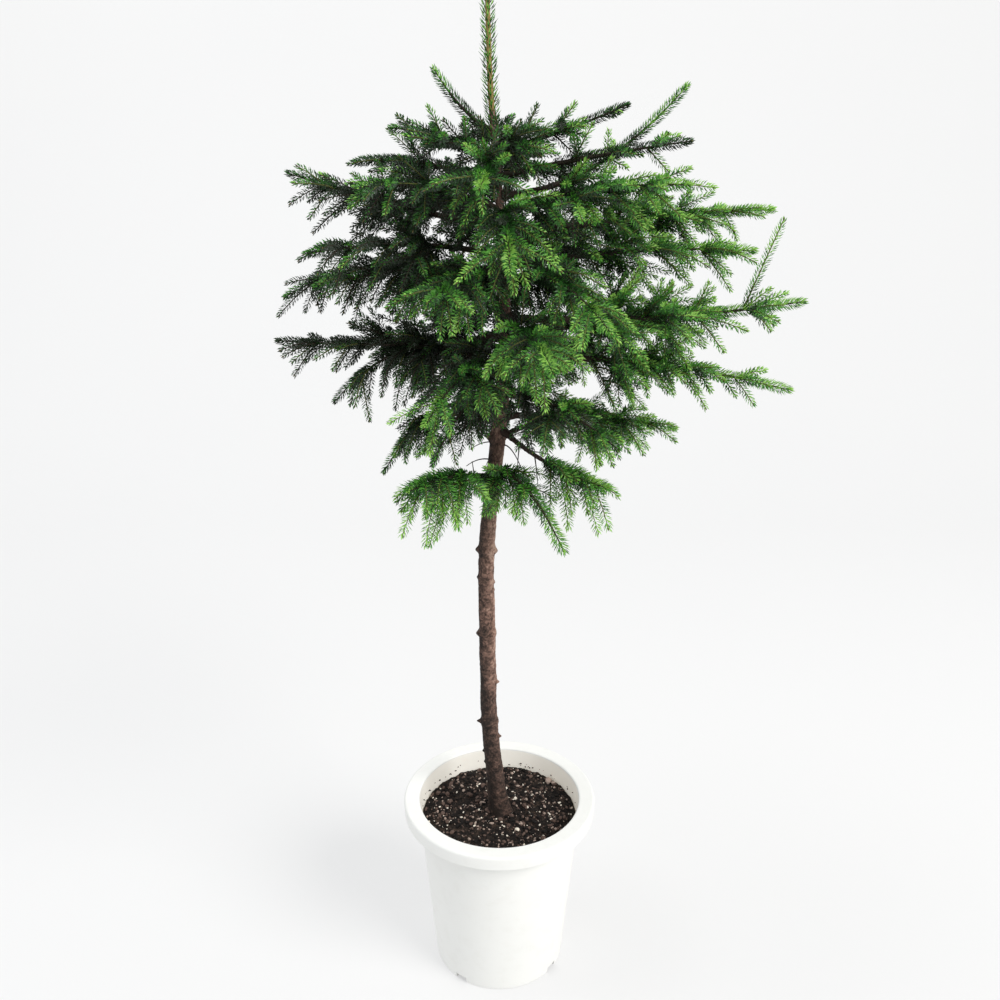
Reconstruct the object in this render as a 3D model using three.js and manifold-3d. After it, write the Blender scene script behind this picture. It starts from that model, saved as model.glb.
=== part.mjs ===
// Young Yezo spruce grown as a standard: a bare stem that carries a loose round crown, in a white pot.
// Millimetres, +Z up, +X to the right and -Y towards the viewer. The origin is the middle of the pot's
// underside. Azimuths run anticlockwise from +X, seen from above, so 270 points at the viewer.
import * as THREE from "three";
import { mergeVertices } from "three/addons/utils/BufferGeometryUtils.js";
import Module from "manifold-3d";

const wasm = await Module();
wasm.setup();

// Clear space that pieces of different nodes keep from each other where they meet
const GAP = 0.3;

// Pot: a size 8 nursery pot, 240 mm across its rim
const POT = {
  height: 235,
  rimRadius: 120,
  mouthRadius: 100,
  bodyRadius: 102.5,
  baseRadius: 82.5,
  wall: 2.5,
  floor: 5,
  lipDrop: 18,
  lipWall: 3,
  edge: 2,
  sides: 32,
};
const DRAIN_NOTCH = { count: 4, azimuth: 234, width: 16, height: 8, depth: 8 };

// Soil: its middle is level where the trunk stands, and it falls a little towards the wall
const SOIL = { top: 210, levelRadius: 34, fall: 2.5, sides: 36 };

// Trunk: sideways lean at equal steps above the soil, up to the tip of the leading shoot
const LEAN_STEP = 71;
const LEAN = [1.5, -7, -12.3, -13.6, -14.6, -14.7, -9, -1, 5, 6, 3.5, -3, -8.5, -11, -13];
const TRUNK = { tip: 1040, footRadius: 11, crownRadius: 8.2, tipRadius: 3, crownBase: 700, sides: 10 };
const ROOT_FLARE = { radius: 4.5, fade: 16 };
const SCAR_RINGS = { heights: [343, 464, 571], swell: 1.5, half: 7 };
const TRUNK_STEP = 46;

// Limbs and shoots. A shoot is a slim core with barbs of needles that sweep forwards: pitch is how far apart
// its rings of barbs stand, and sweep is the share of that pitch by which a barb leans forwards.
const BOUGH = { sides: 5, steps: 3, footRadius: 2.2, radiusPerReach: 0.007, tipShare: 0.3, leastRadius: 2.6 };
const SHOOT = { stalk: 1, core: 2.8, needles: 12.5, pitch: 20, sweep: 0.55, sides: 3 };
const FORK_ANGLE = 50;
const FORK_ANGLE_PLAY = 14;
const LENGTH_TRIES = [1, 0.8, 0.64, 0.5];
const SHORTEST_SHOOT = 30;
const LEADING_SHOOT = 72;
const LAST_NODE = 0.8;
const HANGS_FROM = 0.3;
const INNERMOST_SHOOT = 0.17;
const CREST_ANGLE = 61;
const SEED = 7;

// Room that a shoot keeps from the shoots of other masses, from its sisters, from limbs and from the trunk
const CLEAR = { shoots: 18, sisters: 10, limb: 13, trunk: 18, ownShare: 0.7 };

// Boughs from the lowest to the highest. height is where the bough leaves the trunk, reach its level
// length, rise how much higher its tip lies than its root, and arch how far its middle stands above the
// straight line. bare is the share that is a plain limb, and 0 means that the foliage starts at the trunk.
// years is the number of nodes with side shoots, spread is the length of the longest, and hang how far they
// droop. crest, where it is given, is the length of a shoot that stands upright on the last node.
const BOUGHS = [
  // name, height, azimuth, reach, rise, arch, bare, years, spread, hang, crest
  ["low_front_left", 658, 231, 136, 20, 8, 0.34, 3, 84, 2.4],
  ["low_front_right", 668, 299, 146, -46, 20, 0, 3, 50, 0.9],
  ["low_right_back", 703, 42, 150, 6, 6, 0.36, 3, 62, 0.7],
  ["low_right_front", 716, 322, 142, -40, -10, 0.42, 3, 66, 1.2],
  ["low_left", 724, 171, 134, -68, 44, 0.56, 2, 58, 1.6],
  ["low_right", 728, 6, 198, -20, 8, 0.42, 3, 70, 0.8],
  ["low_back", 736, 100, 160, -30, 12, 0, 3, 74, 0.8],
  ["low_left_front", 752, 222, 98, -60, 28, 0.34, 2, 66, 1.2],
  ["low_right_mid", 752, 318, 156, -30, 14, 0, 3, 92, 1.0],
  ["mid_left_low", 772, 187, 182, -22, 46, 0, 4, 100, 2.6],
  ["mid_back_right", 784, 58, 208, -22, 14, 0, 3, 104, 0.6],
  ["mid_front_left", 790, 244, 172, -30, 20, 0, 3, 92, 0.9],
  ["mid_right_low", 792, 350, 300, -22, 12, 0.3, 4, 74, 0.35],
  ["mid_back_left", 802, 134, 200, -30, 14, 0, 3, 100, 0.6],
  ["mid_front", 806, 281, 214, 18, 22, 0, 4, 96, 1.1],
  ["mid_right_back", 812, 22, 246, -8, 14, 0, 4, 90, 0.6],
  ["mid_left", 816, 184, 240, -1, -6, 0.28, 4, 88, 0.7],
  ["mid_right", 836, 344, 302, 30, -8, 0.3, 4, 92, 0.3, 92],
  ["mid_back", 858, 92, 192, -16, 16, 0, 3, 100, 0.5],
  ["mid_left_up", 858, 166, 252, -10, 34, 0, 4, 104, 0.9],
  ["front_left", 866, 248, 184, 12, 14, 0, 4, 96, 1],
  ["front_right", 872, 298, 200, -20, 24, 0, 4, 104, 1],
  ["mid_right_high", 888, 358, 258, 18, 8, 0, 4, 118, 0.9],
  ["mid_left_high", 886, 188, 196, -14, 8, 0, 4, 92, 1.0],
  ["high_left_front", 900, 202, 206, 10, 10, 0, 4, 98, 1],
  ["high_back_right", 906, 62, 210, -4, 18, 0, 3, 100, 0.4],
  ["high_right", 920, 12, 300, 22, 4, 0.3, 5, 76, 0.6],
  ["high_front", 926, 272, 186, -22, 28, 0, 4, 104, 1.1],
  ["high_left", 930, 174, 222, 51, -6, 0.3, 4, 94, 0.5],
  ["high_back_left", 934, 128, 204, 0, 16, 0, 3, 94, 0.7],
  ["high_right_front", 944, 332, 198, 30, 8, 0, 4, 96, 0.35],
  ["upper_left_front", 946, 218, 168, 26, 10, 0, 3, 92, 0.8],
  ["upper_right", 960, 24, 220, 108, -27, 0.3, 3, 44, 0.1],
  ["upper_left", 966, 153, 174, 24, 12, 0, 3, 74, 0.4],
  ["upper_front", 972, 264, 150, 0, 14, 0, 3, 94, 0.6],
  ["upper_back", 976, 84, 146, 22, 10, 0, 3, 80, 0.1],
  ["upper_right_front", 978, 342, 192, 34, 2, 0, 4, 62, 0.32],
  ["top_left_low", 990, 190, 104, 34, 6, 0, 3, 58, 0.15],
  ["top_front_left", 996, 236, 112, 14, 6, 0, 3, 58, 0.25],
  ["top_right", 1002, 352, 130, 43, -3, 0, 3, 54, 0.35],
  ["top_front", 1006, 292, 84, -4, 8, 0, 3, 64, 0.6],
  ["top_back", 1014, 100, 74, 8, 0, 0, 2, 54, 0.35],
  ["top_left", 1022, 182, 58, 56, -9, 0, 2, 38, 0],
  ["top_right_short", 1018, 28, 60, 4, 2, 0, 1, 38, 0.35],
].map(([name, height, azimuth, reach, rise, arch, bare, years, spread, hang, crest = 0]) => {
  return { name, height, azimuth, reach, rise, arch, bare, years, spread, hang, crest };
});

// Leading shoot, which stands on the trunk's tip
const LEADER = { top: 1200, needles: 7, rings: 12 };

const MATERIALS = {
  plastic: new THREE.MeshStandardMaterial({ color: 0xf2f2ef, roughness: 0.45, metalness: 0 }),
  soil: new THREE.MeshStandardMaterial({ color: 0x33261f, roughness: 1, metalness: 0 }),
  bark: new THREE.MeshStandardMaterial({ color: 0x5b4238, roughness: 0.9, metalness: 0 }),
  needles: new THREE.MeshStandardMaterial({ color: 0x2c6a2e, roughness: 0.6, metalness: 0 }),
};

// A number from 0 to 1 that depends only on the seed and on which shoot it is for
function chance(bough, shoot, use) {
  const wave = Math.sin(SEED * 3.7 + bough * 12.9898 + shoot * 78.233 + use * 37.719) * 43758.5453;
  return wave - Math.floor(wave);
}

const radians = THREE.MathUtils.degToRad;
const lerp = THREE.MathUtils.lerp;
const UP = new THREE.Vector3(0, 0, 1);
const EAST = new THREE.Vector3(1, 0, 0);

// A three.js geometry as a solid that can be joined and cut
function solidOf(geometry) {
  const bare = geometry.clone();
  bare.deleteAttribute("normal");
  bare.deleteAttribute("uv");
  const merged = mergeVertices(bare);
  return new wasm.Manifold(
    new wasm.Mesh({
      numProp: 3,
      vertProperties: new Float32Array(merged.attributes.position.array),
      triVerts: new Uint32Array(merged.index.array),
    }),
  );
}

function join(solids) {
  return solids.reduce((whole, solid) => whole.add(solid));
}

// The largest body of a solid, so that a scrap that a cut leaves is dropped
function mainBody(solid) {
  return solid.decompose().reduce((best, body) => (body.volume() > best.volume() ? body : best));
}

function meshOf(name, solid, material) {
  const { vertProperties, triVerts } = solid.getMesh();
  const geometry = new THREE.BufferGeometry();
  geometry.setAttribute("position", new THREE.BufferAttribute(new Float32Array(vertProperties), 3));
  geometry.setIndex(new THREE.BufferAttribute(new Uint32Array(triVerts), 1));
  geometry.computeVertexNormals();
  const mesh = new THREE.Mesh(geometry, material);
  mesh.name = name;
  return mesh;
}

// A cylinder bent along a curve. Each ring gives its place on the curve and its radius, and a last ring of
// radius 0 makes a point. side is a direction across the curve that the rings are turned from, and heading,
// where given, is the one direction that all the rings face. A ring with a barb has every other corner drawn
// out to that radius and swept forwards, and the corners change over from ring to ring.
function loft(curve, rings, sides, side, heading) {
  const steps = rings.length - 1;
  const geometry = new THREE.CylinderGeometry(rings[steps].radius === 0 ? 0 : 1, 1, 1, sides, steps);
  const place = geometry.attributes.position;
  for (let i = 0; i < place.count; i++) {
    const step = Math.round((place.getY(i) + 0.5) * steps);
    const ring = rings[step];
    const onRim = Math.hypot(place.getX(i), place.getZ(i)) > 1e-6;
    const angle = Math.atan2(place.getX(i), place.getZ(i));
    const corner = Math.round((angle * sides) / (2 * Math.PI) + sides) % sides;
    const barbed = onRim && ring.barb && (corner + step) % 2 === 0;
    const at = barbed ? ring.at + ring.sweep : ring.at;
    const along = heading ?? curve.getTangent(at);
    const across = side.clone().addScaledVector(along, -side.dot(along)).normalize();
    const down = across.clone().cross(along);
    const radius = barbed ? ring.barb : onRim ? ring.radius : 0;
    const point = curve
      .getPoint(at)
      .addScaledVector(across, radius * Math.sin(angle))
      .addScaledVector(down, radius * Math.cos(angle));
    place.setXYZ(i, point.x, point.y, point.z);
  }
  return solidOf(geometry);
}

// Revolves an outline of radius and height pairs about the Z axis
function turned(outline, sides) {
  const points = outline.map(([radius, height]) => new THREE.Vector2(radius, height));
  return solidOf(new THREE.LatheGeometry(points, sides).rotateX(Math.PI / 2));
}

// The radius of the pot's outer wall at a height
function potRadius(height) {
  return lerp(POT.baseRadius, POT.bodyRadius, height / (POT.height - POT.lipWall));
}

function makePot() {
  const { height, rimRadius, mouthRadius, wall, floor, lipDrop, lipWall, edge, sides } = POT;
  const brimBelow = height - lipWall;
  const lipFoot = height - lipDrop;
  const pot = turned(
    [
      [0, 0],
      [POT.baseRadius - edge, 0],
      [potRadius(edge), edge],
      [potRadius(brimBelow), brimBelow],
      [rimRadius - lipWall, brimBelow],
      [rimRadius - lipWall, lipFoot],
      [rimRadius - 0.5, lipFoot],
      [rimRadius, height - edge],
      [rimRadius - edge, height],
      [mouthRadius + edge, height],
      [mouthRadius, height - edge],
      [potRadius(floor) - wall, floor],
      [0, floor],
    ],
    sides,
  );
  const notches = Array.from({ length: DRAIN_NOTCH.count }, (_, i) => {
    const { width, height: tall, depth, azimuth, count } = DRAIN_NOTCH;
    const box = new THREE.BoxGeometry(2 * depth, width, 2 * tall);
    box.translate(POT.baseRadius, 0, 0);
    box.rotateZ(radians(azimuth + (360 / count) * i));
    return solidOf(box);
  });
  return pot.subtract(join(notches));
}

function makeSoil() {
  const wallRadius = (height) => potRadius(height) - POT.wall - 2 * GAP;
  const rimHeight = SOIL.top - SOIL.fall;
  return turned(
    [
      [0, POT.floor + GAP],
      [wallRadius(POT.floor) - 1, POT.floor + GAP],
      [wallRadius(rimHeight) - 1, rimHeight],
      [lerp(SOIL.levelRadius, wallRadius(rimHeight), 0.6), SOIL.top - 0.4 * SOIL.fall],
      [SOIL.levelRadius, SOIL.top],
      [0, SOIL.top],
    ],
    SOIL.sides,
  );
}

// Trunk's middle line, which the leading shoot carries on
const STEM_FOOT = SOIL.top + GAP;
const stemLine = new THREE.CatmullRomCurve3(
  LEAN.map((lean, i) => new THREE.Vector3(lean, 0, SOIL.top + LEAN_STEP * i)),
  false,
  "catmullrom",
);
const STEM_SPAN = LEAN_STEP * (LEAN.length - 1);
const stemShare = (height) => (height - SOIL.top) / STEM_SPAN;

// The trunk's radius at a height: two straight tapers, the root flare and the rings of old branch scars
function trunkRadius(height) {
  const { crownBase, tip, footRadius, crownRadius, tipRadius } = TRUNK;
  const below = lerp(footRadius, crownRadius, (height - SOIL.top) / (crownBase - SOIL.top));
  const above = lerp(crownRadius, tipRadius, (height - crownBase) / (tip - crownBase));
  const flare = ROOT_FLARE.radius * Math.exp(-(height - SOIL.top) / ROOT_FLARE.fade);
  const swell = SCAR_RINGS.heights.includes(height) ? SCAR_RINGS.swell : 0;
  return (height < crownBase ? below : above) + flare + swell;
}

function trunkHeights() {
  const { heights, half } = SCAR_RINGS;
  const steps = Math.round((TRUNK.tip - STEM_FOOT) / TRUNK_STEP);
  const even = Array.from({ length: steps + 1 }, (_, i) => lerp(STEM_FOOT, TRUNK.tip, i / steps));
  const apart = even.filter((z) => heights.every((ring) => Math.abs(ring - z) > 2 * half));
  const rings = heights.flatMap((ring) => [ring - half, ring, ring + half]);
  return [...apart, STEM_FOOT + 6, STEM_FOOT + 18, ...rings].sort((a, b) => a - b);
}

function makeTrunk(extra) {
  const rings = trunkHeights().map((z) => ({ at: stemShare(z), radius: trunkRadius(z) + extra }));
  return loft(stemLine, rings, TRUNK.sides, EAST, UP);
}

// A bough's middle line from the trunk's heart to the tip of its foliage, and the direction across it
function boughLine(bough) {
  const azimuth = radians(bough.azimuth);
  const root = stemLine.getPoint(stemShare(bough.height));
  const out = new THREE.Vector3(Math.cos(azimuth), Math.sin(azimuth), 0);
  const tip = root.clone().addScaledVector(out, bough.reach).add(new THREE.Vector3(0, 0, bough.rise));
  const middle = root.clone().lerp(tip, 0.5).add(new THREE.Vector3(0, 0, 2 * bough.arch));
  return {
    curve: new THREE.QuadraticBezierCurve3(root, middle, tip),
    side: new THREE.Vector3(-Math.sin(azimuth), Math.cos(azimuth), 0),
  };
}

function limbRadius(bough, at) {
  const foot = BOUGH.footRadius + BOUGH.radiusPerReach * bough.reach;
  return Math.max(foot * lerp(1, BOUGH.tipShare, at), BOUGH.leastRadius);
}

function makeBough(bough, line, grownTrunk) {
  const rings = Array.from({ length: BOUGH.steps + 1 }, (_, i) => {
    const at = (bough.bare * i) / BOUGH.steps;
    return { at, radius: limbRadius(bough, at) };
  });
  return mainBody(loft(line.curve, rings, BOUGH.sides, line.side).subtract(grownTrunk));
}

// Rings of a needle-clad stretch from a share of the curve to its end, on a slim stalk
function needleRings(from, length, needles) {
  const count = Math.max(2, Math.round(length / SHOOT.pitch) - 1);
  const step = (1 - from) / (count + 1);
  const barbed = Array.from({ length: count }, (_, i) => ({
    at: from + step * (i + 1),
    radius: SHOOT.core,
    barb: needles * (i === 0 ? 0.7 : 1 - 0.45 * ((i + 1) / count) ** 3),
    sweep: SHOOT.sweep * step,
  }));
  return [{ at: from, radius: SHOOT.stalk }, ...barbed, { at: 1, radius: 0 }];
}

// A shoot that leaves a curve at a share of its length. turn is how far round the curve it stands, from its
// left-hand side (0) over its upper side (90), and hang is how far its outer part droops.
function shootFrom(curve, side, at, turn, length, hang, angle) {
  const along = curve.getTangent(at);
  const above = along.clone().cross(side);
  const outwards = side.clone().multiplyScalar(Math.cos(radians(turn)));
  outwards.addScaledVector(above, Math.sin(radians(turn)));
  const start = along.clone().multiplyScalar(Math.cos(radians(angle)));
  start.addScaledVector(outwards, Math.sin(radians(angle)));
  const end = start.clone().addScaledVector(UP, -hang).normalize();
  const root = curve.getPoint(at);
  const knee = root.clone().addScaledVector(start, 0.4 * length);
  const tip = knee.clone().addScaledVector(end, 0.6 * length);
  const across = start.clone().cross(outwards).normalize();
  return { curve: new THREE.QuadraticBezierCurve3(root, knee, tip), side: across, length };
}

// Distance from a point to the nearest of a list of points
function nearest(point, others) {
  return others.reduce((least, other) => Math.min(least, point.distanceTo(other)), Infinity);
}

function samplesOf(curve, from, count) {
  return Array.from({ length: count + 1 }, (_, i) => curve.getPoint(lerp(from, 1, i / count)));
}

const lines = BOUGHS.map(boughLine);
const axes = lines.map((line) => samplesOf(line.curve, 0.06, 24));
const trunkAxis = Array.from({ length: 90 }, (_, i) => stemLine.getPoint(stemShare(lerp(640, 1200, i / 89))));

// True where a shoot stays nearer to its own bough than to any other, and clear of the trunk and of what is
// made. Sisters may touch near their roots, so only the outer half of a shoot keeps clear of them.
function hasRoom(shoot, index, made) {
  const clearOf = (point, others, room) => others.every((points) => nearest(point, points) > room);
  const sisters = made.filter((other) => other.index === index).map((other) => other.points);
  const strangers = made.filter((other) => other.index !== index).map((other) => other.points);
  return (
    samplesOf(shoot.curve, 0.5, 4).every((point) => clearOf(point, sisters, CLEAR.sisters)) &&
    samplesOf(shoot.curve, 0.25, 7).every((point) => {
      const own = nearest(point, axes[index]);
      const other = Math.min(...axes.map((axis, i) => (i === index ? Infinity : nearest(point, axis))));
      return (
        other > Math.max(CLEAR.limb, CLEAR.ownShare * own) &&
        nearest(point, trunkAxis) > CLEAR.trunk &&
        clearOf(point, strangers, CLEAR.shoots)
      );
    })
  );
}

// The shoots of one mass: at each year's growth one to the left, one to the right and one above or below.
// Each is tried at full length, then shorter, then left out.
function shootsOf(bough, index, made) {
  const { curve, side } = lines[index];
  const first = Math.max(bough.bare + 0.05, INNERMOST_SHOOT);
  const shoots = [];
  for (let number = 0; number < 3 * bough.years; number++) {
    const year = Math.floor(number / 3);
    const share = year / Math.max(1, bough.years - 1);
    const way = number % 3;
    const isCrest = bough.crest > 0 && number === 3 * bough.years - 1;
    const below = bough.hang > HANGS_FROM && year !== 1 && !isCrest;
    const play = (use) => 2 * chance(index, number, use) - 1;
    const at = lerp(first, LAST_NODE, share) + 0.04 * play(5);
    const shorter = way < 2 ? 1 : below ? 0.85 : 0.6;
    const grown = bough.spread * shorter * (1 - 0.42 * share) * (1 + 0.15 * play(3));
    const full = isCrest ? bough.crest : grown;
    const droop = isCrest ? 0 : bough.hang * (way < 2 ? lerp(1.5, 0.7, share) : 0.3) * (1 + 0.25 * play(2));
    const angle = isCrest ? CREST_ANGLE : FORK_ANGLE + FORK_ANGLE_PLAY * play(1);
    const turn = [10, 170, below ? 270 : 90][way];
    const shoot = LENGTH_TRIES.map((part) => part * full)
      .filter((length) => length >= SHORTEST_SHOOT)
      .map((length) => shootFrom(curve, side, at, turn + 15 * play(4), length, droop, angle))
      .find((tried) => hasRoom(tried, index, made));
    if (!shoot) continue;
    shoots.push(shoot);
    made.push({ index, points: samplesOf(shoot.curve, 0.35, 8) });
  }
  return shoots;
}

// One mass of foliage: the stem that carries the bough on, its needle-clad end and its side shoots
function makeMass(bough, index, made, grownTrunk) {
  const line = lines[index];
  const length = line.curve.getLength();
  const start = bough.bare ? bough.bare + GAP / length : 0;
  const clad = Math.max(1 - LEADING_SHOOT / length, start + 0.1);
  made.push({ index, points: samplesOf(line.curve, clad, 8) });
  const stem = [start, (start + clad) / 2, clad].map((at) => ({ at, radius: limbRadius(bough, at) }));
  const rings = [...stem, ...needleRings(clad, length * (1 - clad), SHOOT.needles).slice(1)];
  const shoots = shootsOf(bough, index, made).map((shoot) =>
    loft(shoot.curve, needleRings(0, shoot.length, SHOOT.needles), SHOOT.sides, shoot.side),
  );
  return mainBody(join([loft(line.curve, rings, SHOOT.sides, line.side), ...shoots]).subtract(grownTrunk));
}

// The leading shoot: needles on a slim core, from the trunk's tip to the top of the tree
function makeLeader() {
  const from = stemShare(TRUNK.tip + GAP);
  const to = stemShare(LEADER.top);
  const foot = { at: from, radius: TRUNK.tipRadius };
  const clad = needleRings(0.04, LEADER.rings * SHOOT.pitch, LEADER.needles);
  const rings = clad.map((ring) => {
    return { ...ring, at: lerp(from, to, ring.at), sweep: ring.sweep * (to - from) };
  });
  return loft(stemLine, [foot, ...rings], SHOOT.sides, EAST, UP);
}

const spruce = new THREE.Group();
spruce.name = "potted_yezo_spruce";
spruce.add(meshOf("pot", makePot(), MATERIALS.plastic));
spruce.add(meshOf("soil", makeSoil(), MATERIALS.soil));
spruce.add(meshOf("trunk", makeTrunk(0), MATERIALS.bark));
spruce.add(meshOf("leader_needles", makeLeader(), MATERIALS.needles));

const grownTrunk = makeTrunk(GAP);
const made = [];
BOUGHS.forEach((bough, index) => {
  if (bough.bare) {
    spruce.add(meshOf(`bough_${bough.name}`, makeBough(bough, lines[index], grownTrunk), MATERIALS.bark));
  }
  spruce.add(meshOf(`foliage_${bough.name}`, makeMass(bough, index, made, grownTrunk), MATERIALS.needles));
});

export default spruce;
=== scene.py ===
import math
from collections import namedtuple

import bpy
import numpy as np
from bpy.props import FloatProperty, FloatVectorProperty, IntProperty, PointerProperty
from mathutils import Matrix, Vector


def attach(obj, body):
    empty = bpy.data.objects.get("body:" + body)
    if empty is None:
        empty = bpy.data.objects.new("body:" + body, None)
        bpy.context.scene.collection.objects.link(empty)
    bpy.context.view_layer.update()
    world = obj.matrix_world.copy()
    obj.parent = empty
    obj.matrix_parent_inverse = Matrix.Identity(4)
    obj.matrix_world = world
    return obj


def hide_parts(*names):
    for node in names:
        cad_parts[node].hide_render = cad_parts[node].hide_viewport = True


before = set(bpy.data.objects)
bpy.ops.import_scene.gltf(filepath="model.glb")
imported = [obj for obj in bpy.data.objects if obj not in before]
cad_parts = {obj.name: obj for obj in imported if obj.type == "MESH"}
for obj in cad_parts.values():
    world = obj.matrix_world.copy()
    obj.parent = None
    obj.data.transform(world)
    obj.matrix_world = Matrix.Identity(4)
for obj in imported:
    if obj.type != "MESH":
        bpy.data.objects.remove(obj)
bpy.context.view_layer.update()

bl_info = {
    "name": "Potted Yezo Spruce",
    "version": (1, 0, 0),
    "blender": (4, 5, 0),
    "location": "View3D > Sidebar > Spruce",
    "description": "Needles, bark, soil, pot and stage for a Yezo spruce grown as a standard",
    "category": "Add Mesh",
}

# Growing sizes are in millimetres, as in the part's source, and meshes are made in metres.
# X points right, Y away from the viewer and Z up, from the middle of the pot's underside.
MM = 0.001
GAP = 0.3
UP = np.array([0.0, 0.0, 1.0])
GOLDEN_ANGLE = math.pi * (3 - math.sqrt(5))

# Pot
POT_HEIGHT = 235
RIM_RADIUS = 120
MOUTH_RADIUS = 100
BODY_RADIUS = 102.5
BASE_RADIUS = 82.5
POT_WALL = 2.5
POT_FLOOR = 5
LIP_DROP = 18
LIP_WALL = 3
BRIM_ROUND = 3.2
MOUTH_ROUND = 2.6
FOOT_ROUND = 2.4
DRAIN_NOTCHES = 4
DRAIN_NOTCH_AZIMUTH = 234
DRAIN_NOTCH_SIZE = (16, 16, 16)

# Soil
SOIL_TOP = 210
SOIL_LEVEL_RADIUS = 34
SOIL_FALL = 2.5
SOIL_EDGE = 97.0

# Trunk, and the relief of its bark and of the limbs'
LEAN_STEP = 71
LEAN = (1.5, -7, -12.3, -13.6, -14.6, -14.7, -9, -1, 5, 6, 3.5, -3, -8.5, -11, -13)
TRUNK_TIP = 1040
CROWN_BASE = 700
FOOT_RADIUS = 11
CROWN_RADIUS = 8.2
TIP_RADIUS = 3
FLARE_RADIUS = 4.5
FLARE_FADE = 16
FLUTES = 4
FLUTE_DEPTH = 1.1
FLUTE_FADE = 26
RIPPLE_DEPTH = 0.55
COLLAR_SWELL = 2.6
COLLAR_FROM = 7
COLLAR_FADE = 5
LIMB_RELIEF = 0.28
SCAR_RINGS = (343, 464, 571)
SCAR_SWELL = 1.5
SCAR_HALF = 4.5
LEADER_TOP = 1200

# Knobs that cut twigs left on the trunk: height, azimuth, how far they stand out, and radius
KNOBS = (
    (571, 186, 2.6, 3.0),
    (569, 352, 2.4, 3.0),
    (536, 182, 1.8, 2.2),
    (530, 350, 1.8, 2.0),
    (521, 340, 1.4, 1.8),
    (464, 190, 2.0, 3.4),
    (398, 352, 3.4, 2.0),
    (343, 184, 4.2, 2.0),
    (322, 350, 3.4, 2.0),
    (300, 186, 2.2, 1.8),
    (284, 182, 1.6, 1.8),
    (262, 300, 1.6, 2.6),
    (705, 176, 6.0, 4.5),
    (644, 250, 2.0, 3.0),
    (610, 300, 1.2, 2.4),
)

# The growing rule's own sizes, as in the part's source
LIMB_FOOT = 2.2
LIMB_PER_REACH = 0.007
LIMB_TIP_SHARE = 0.3
FORK_ANGLE = 50
FORK_ANGLE_PLAY = 14
LENGTH_TRIES = (1, 0.8, 0.64, 0.5)
SHORTEST_SHOOT = 30
LEADING_SHOOT = 72
LAST_NODE = 0.8
HANGS_FROM = 0.3
INNERMOST_SHOOT = 0.17
SEED = 7
CREST_ANGLE = 61
CLEAR_SISTERS = 10

# Finer growth: more shoots round each node, twigs on the shoots of the older nodes, and fillers between nodes
INNER_TURNS = (205, 335, 245, 295, 60, 120)
OUTER_TURNS = (28, 152, 222, 318)
YOUNG_FROM = 960
OUTER_FROM = 0.55
WHORL_SPREAD = 0.78
WHORL_SHORTEST = 28
TWIG_PLACES = ((0.22, 12), (0.28, 168), (0.36, 270), (0.46, 12), (0.52, 168))
TWIG_SPREAD = 0.74
TWIG_LONGEST = 56
TWIG_SHORTEST = 27
TWIG_ANGLE = 40
FILLER_STEP = 15
FILLER_SPREAD = 0.5
FILLER_SHORTEST = 28
FILLER_END = 0.7

# How clear a shoot keeps of the other limbs, as a length and as a share of the way to its own, of the trunk,
# and of the shoots of other masses: first by the growing rule, then for the finer growth
Clear = namedtuple("Clear", "limbs own_share trunk shoots")
SHOOT_CLEAR = Clear(13, 0.7, 18, 18)
FINE_CLEAR = Clear(9, 0.62, 13, 7)

# The lowest masses are open: no fillers and only long twigs on boughs below this height, with longer needles
OPEN_BELOW = 720
OPEN_TWIG = 46
OPEN_NEEDLES = 1.3

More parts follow.
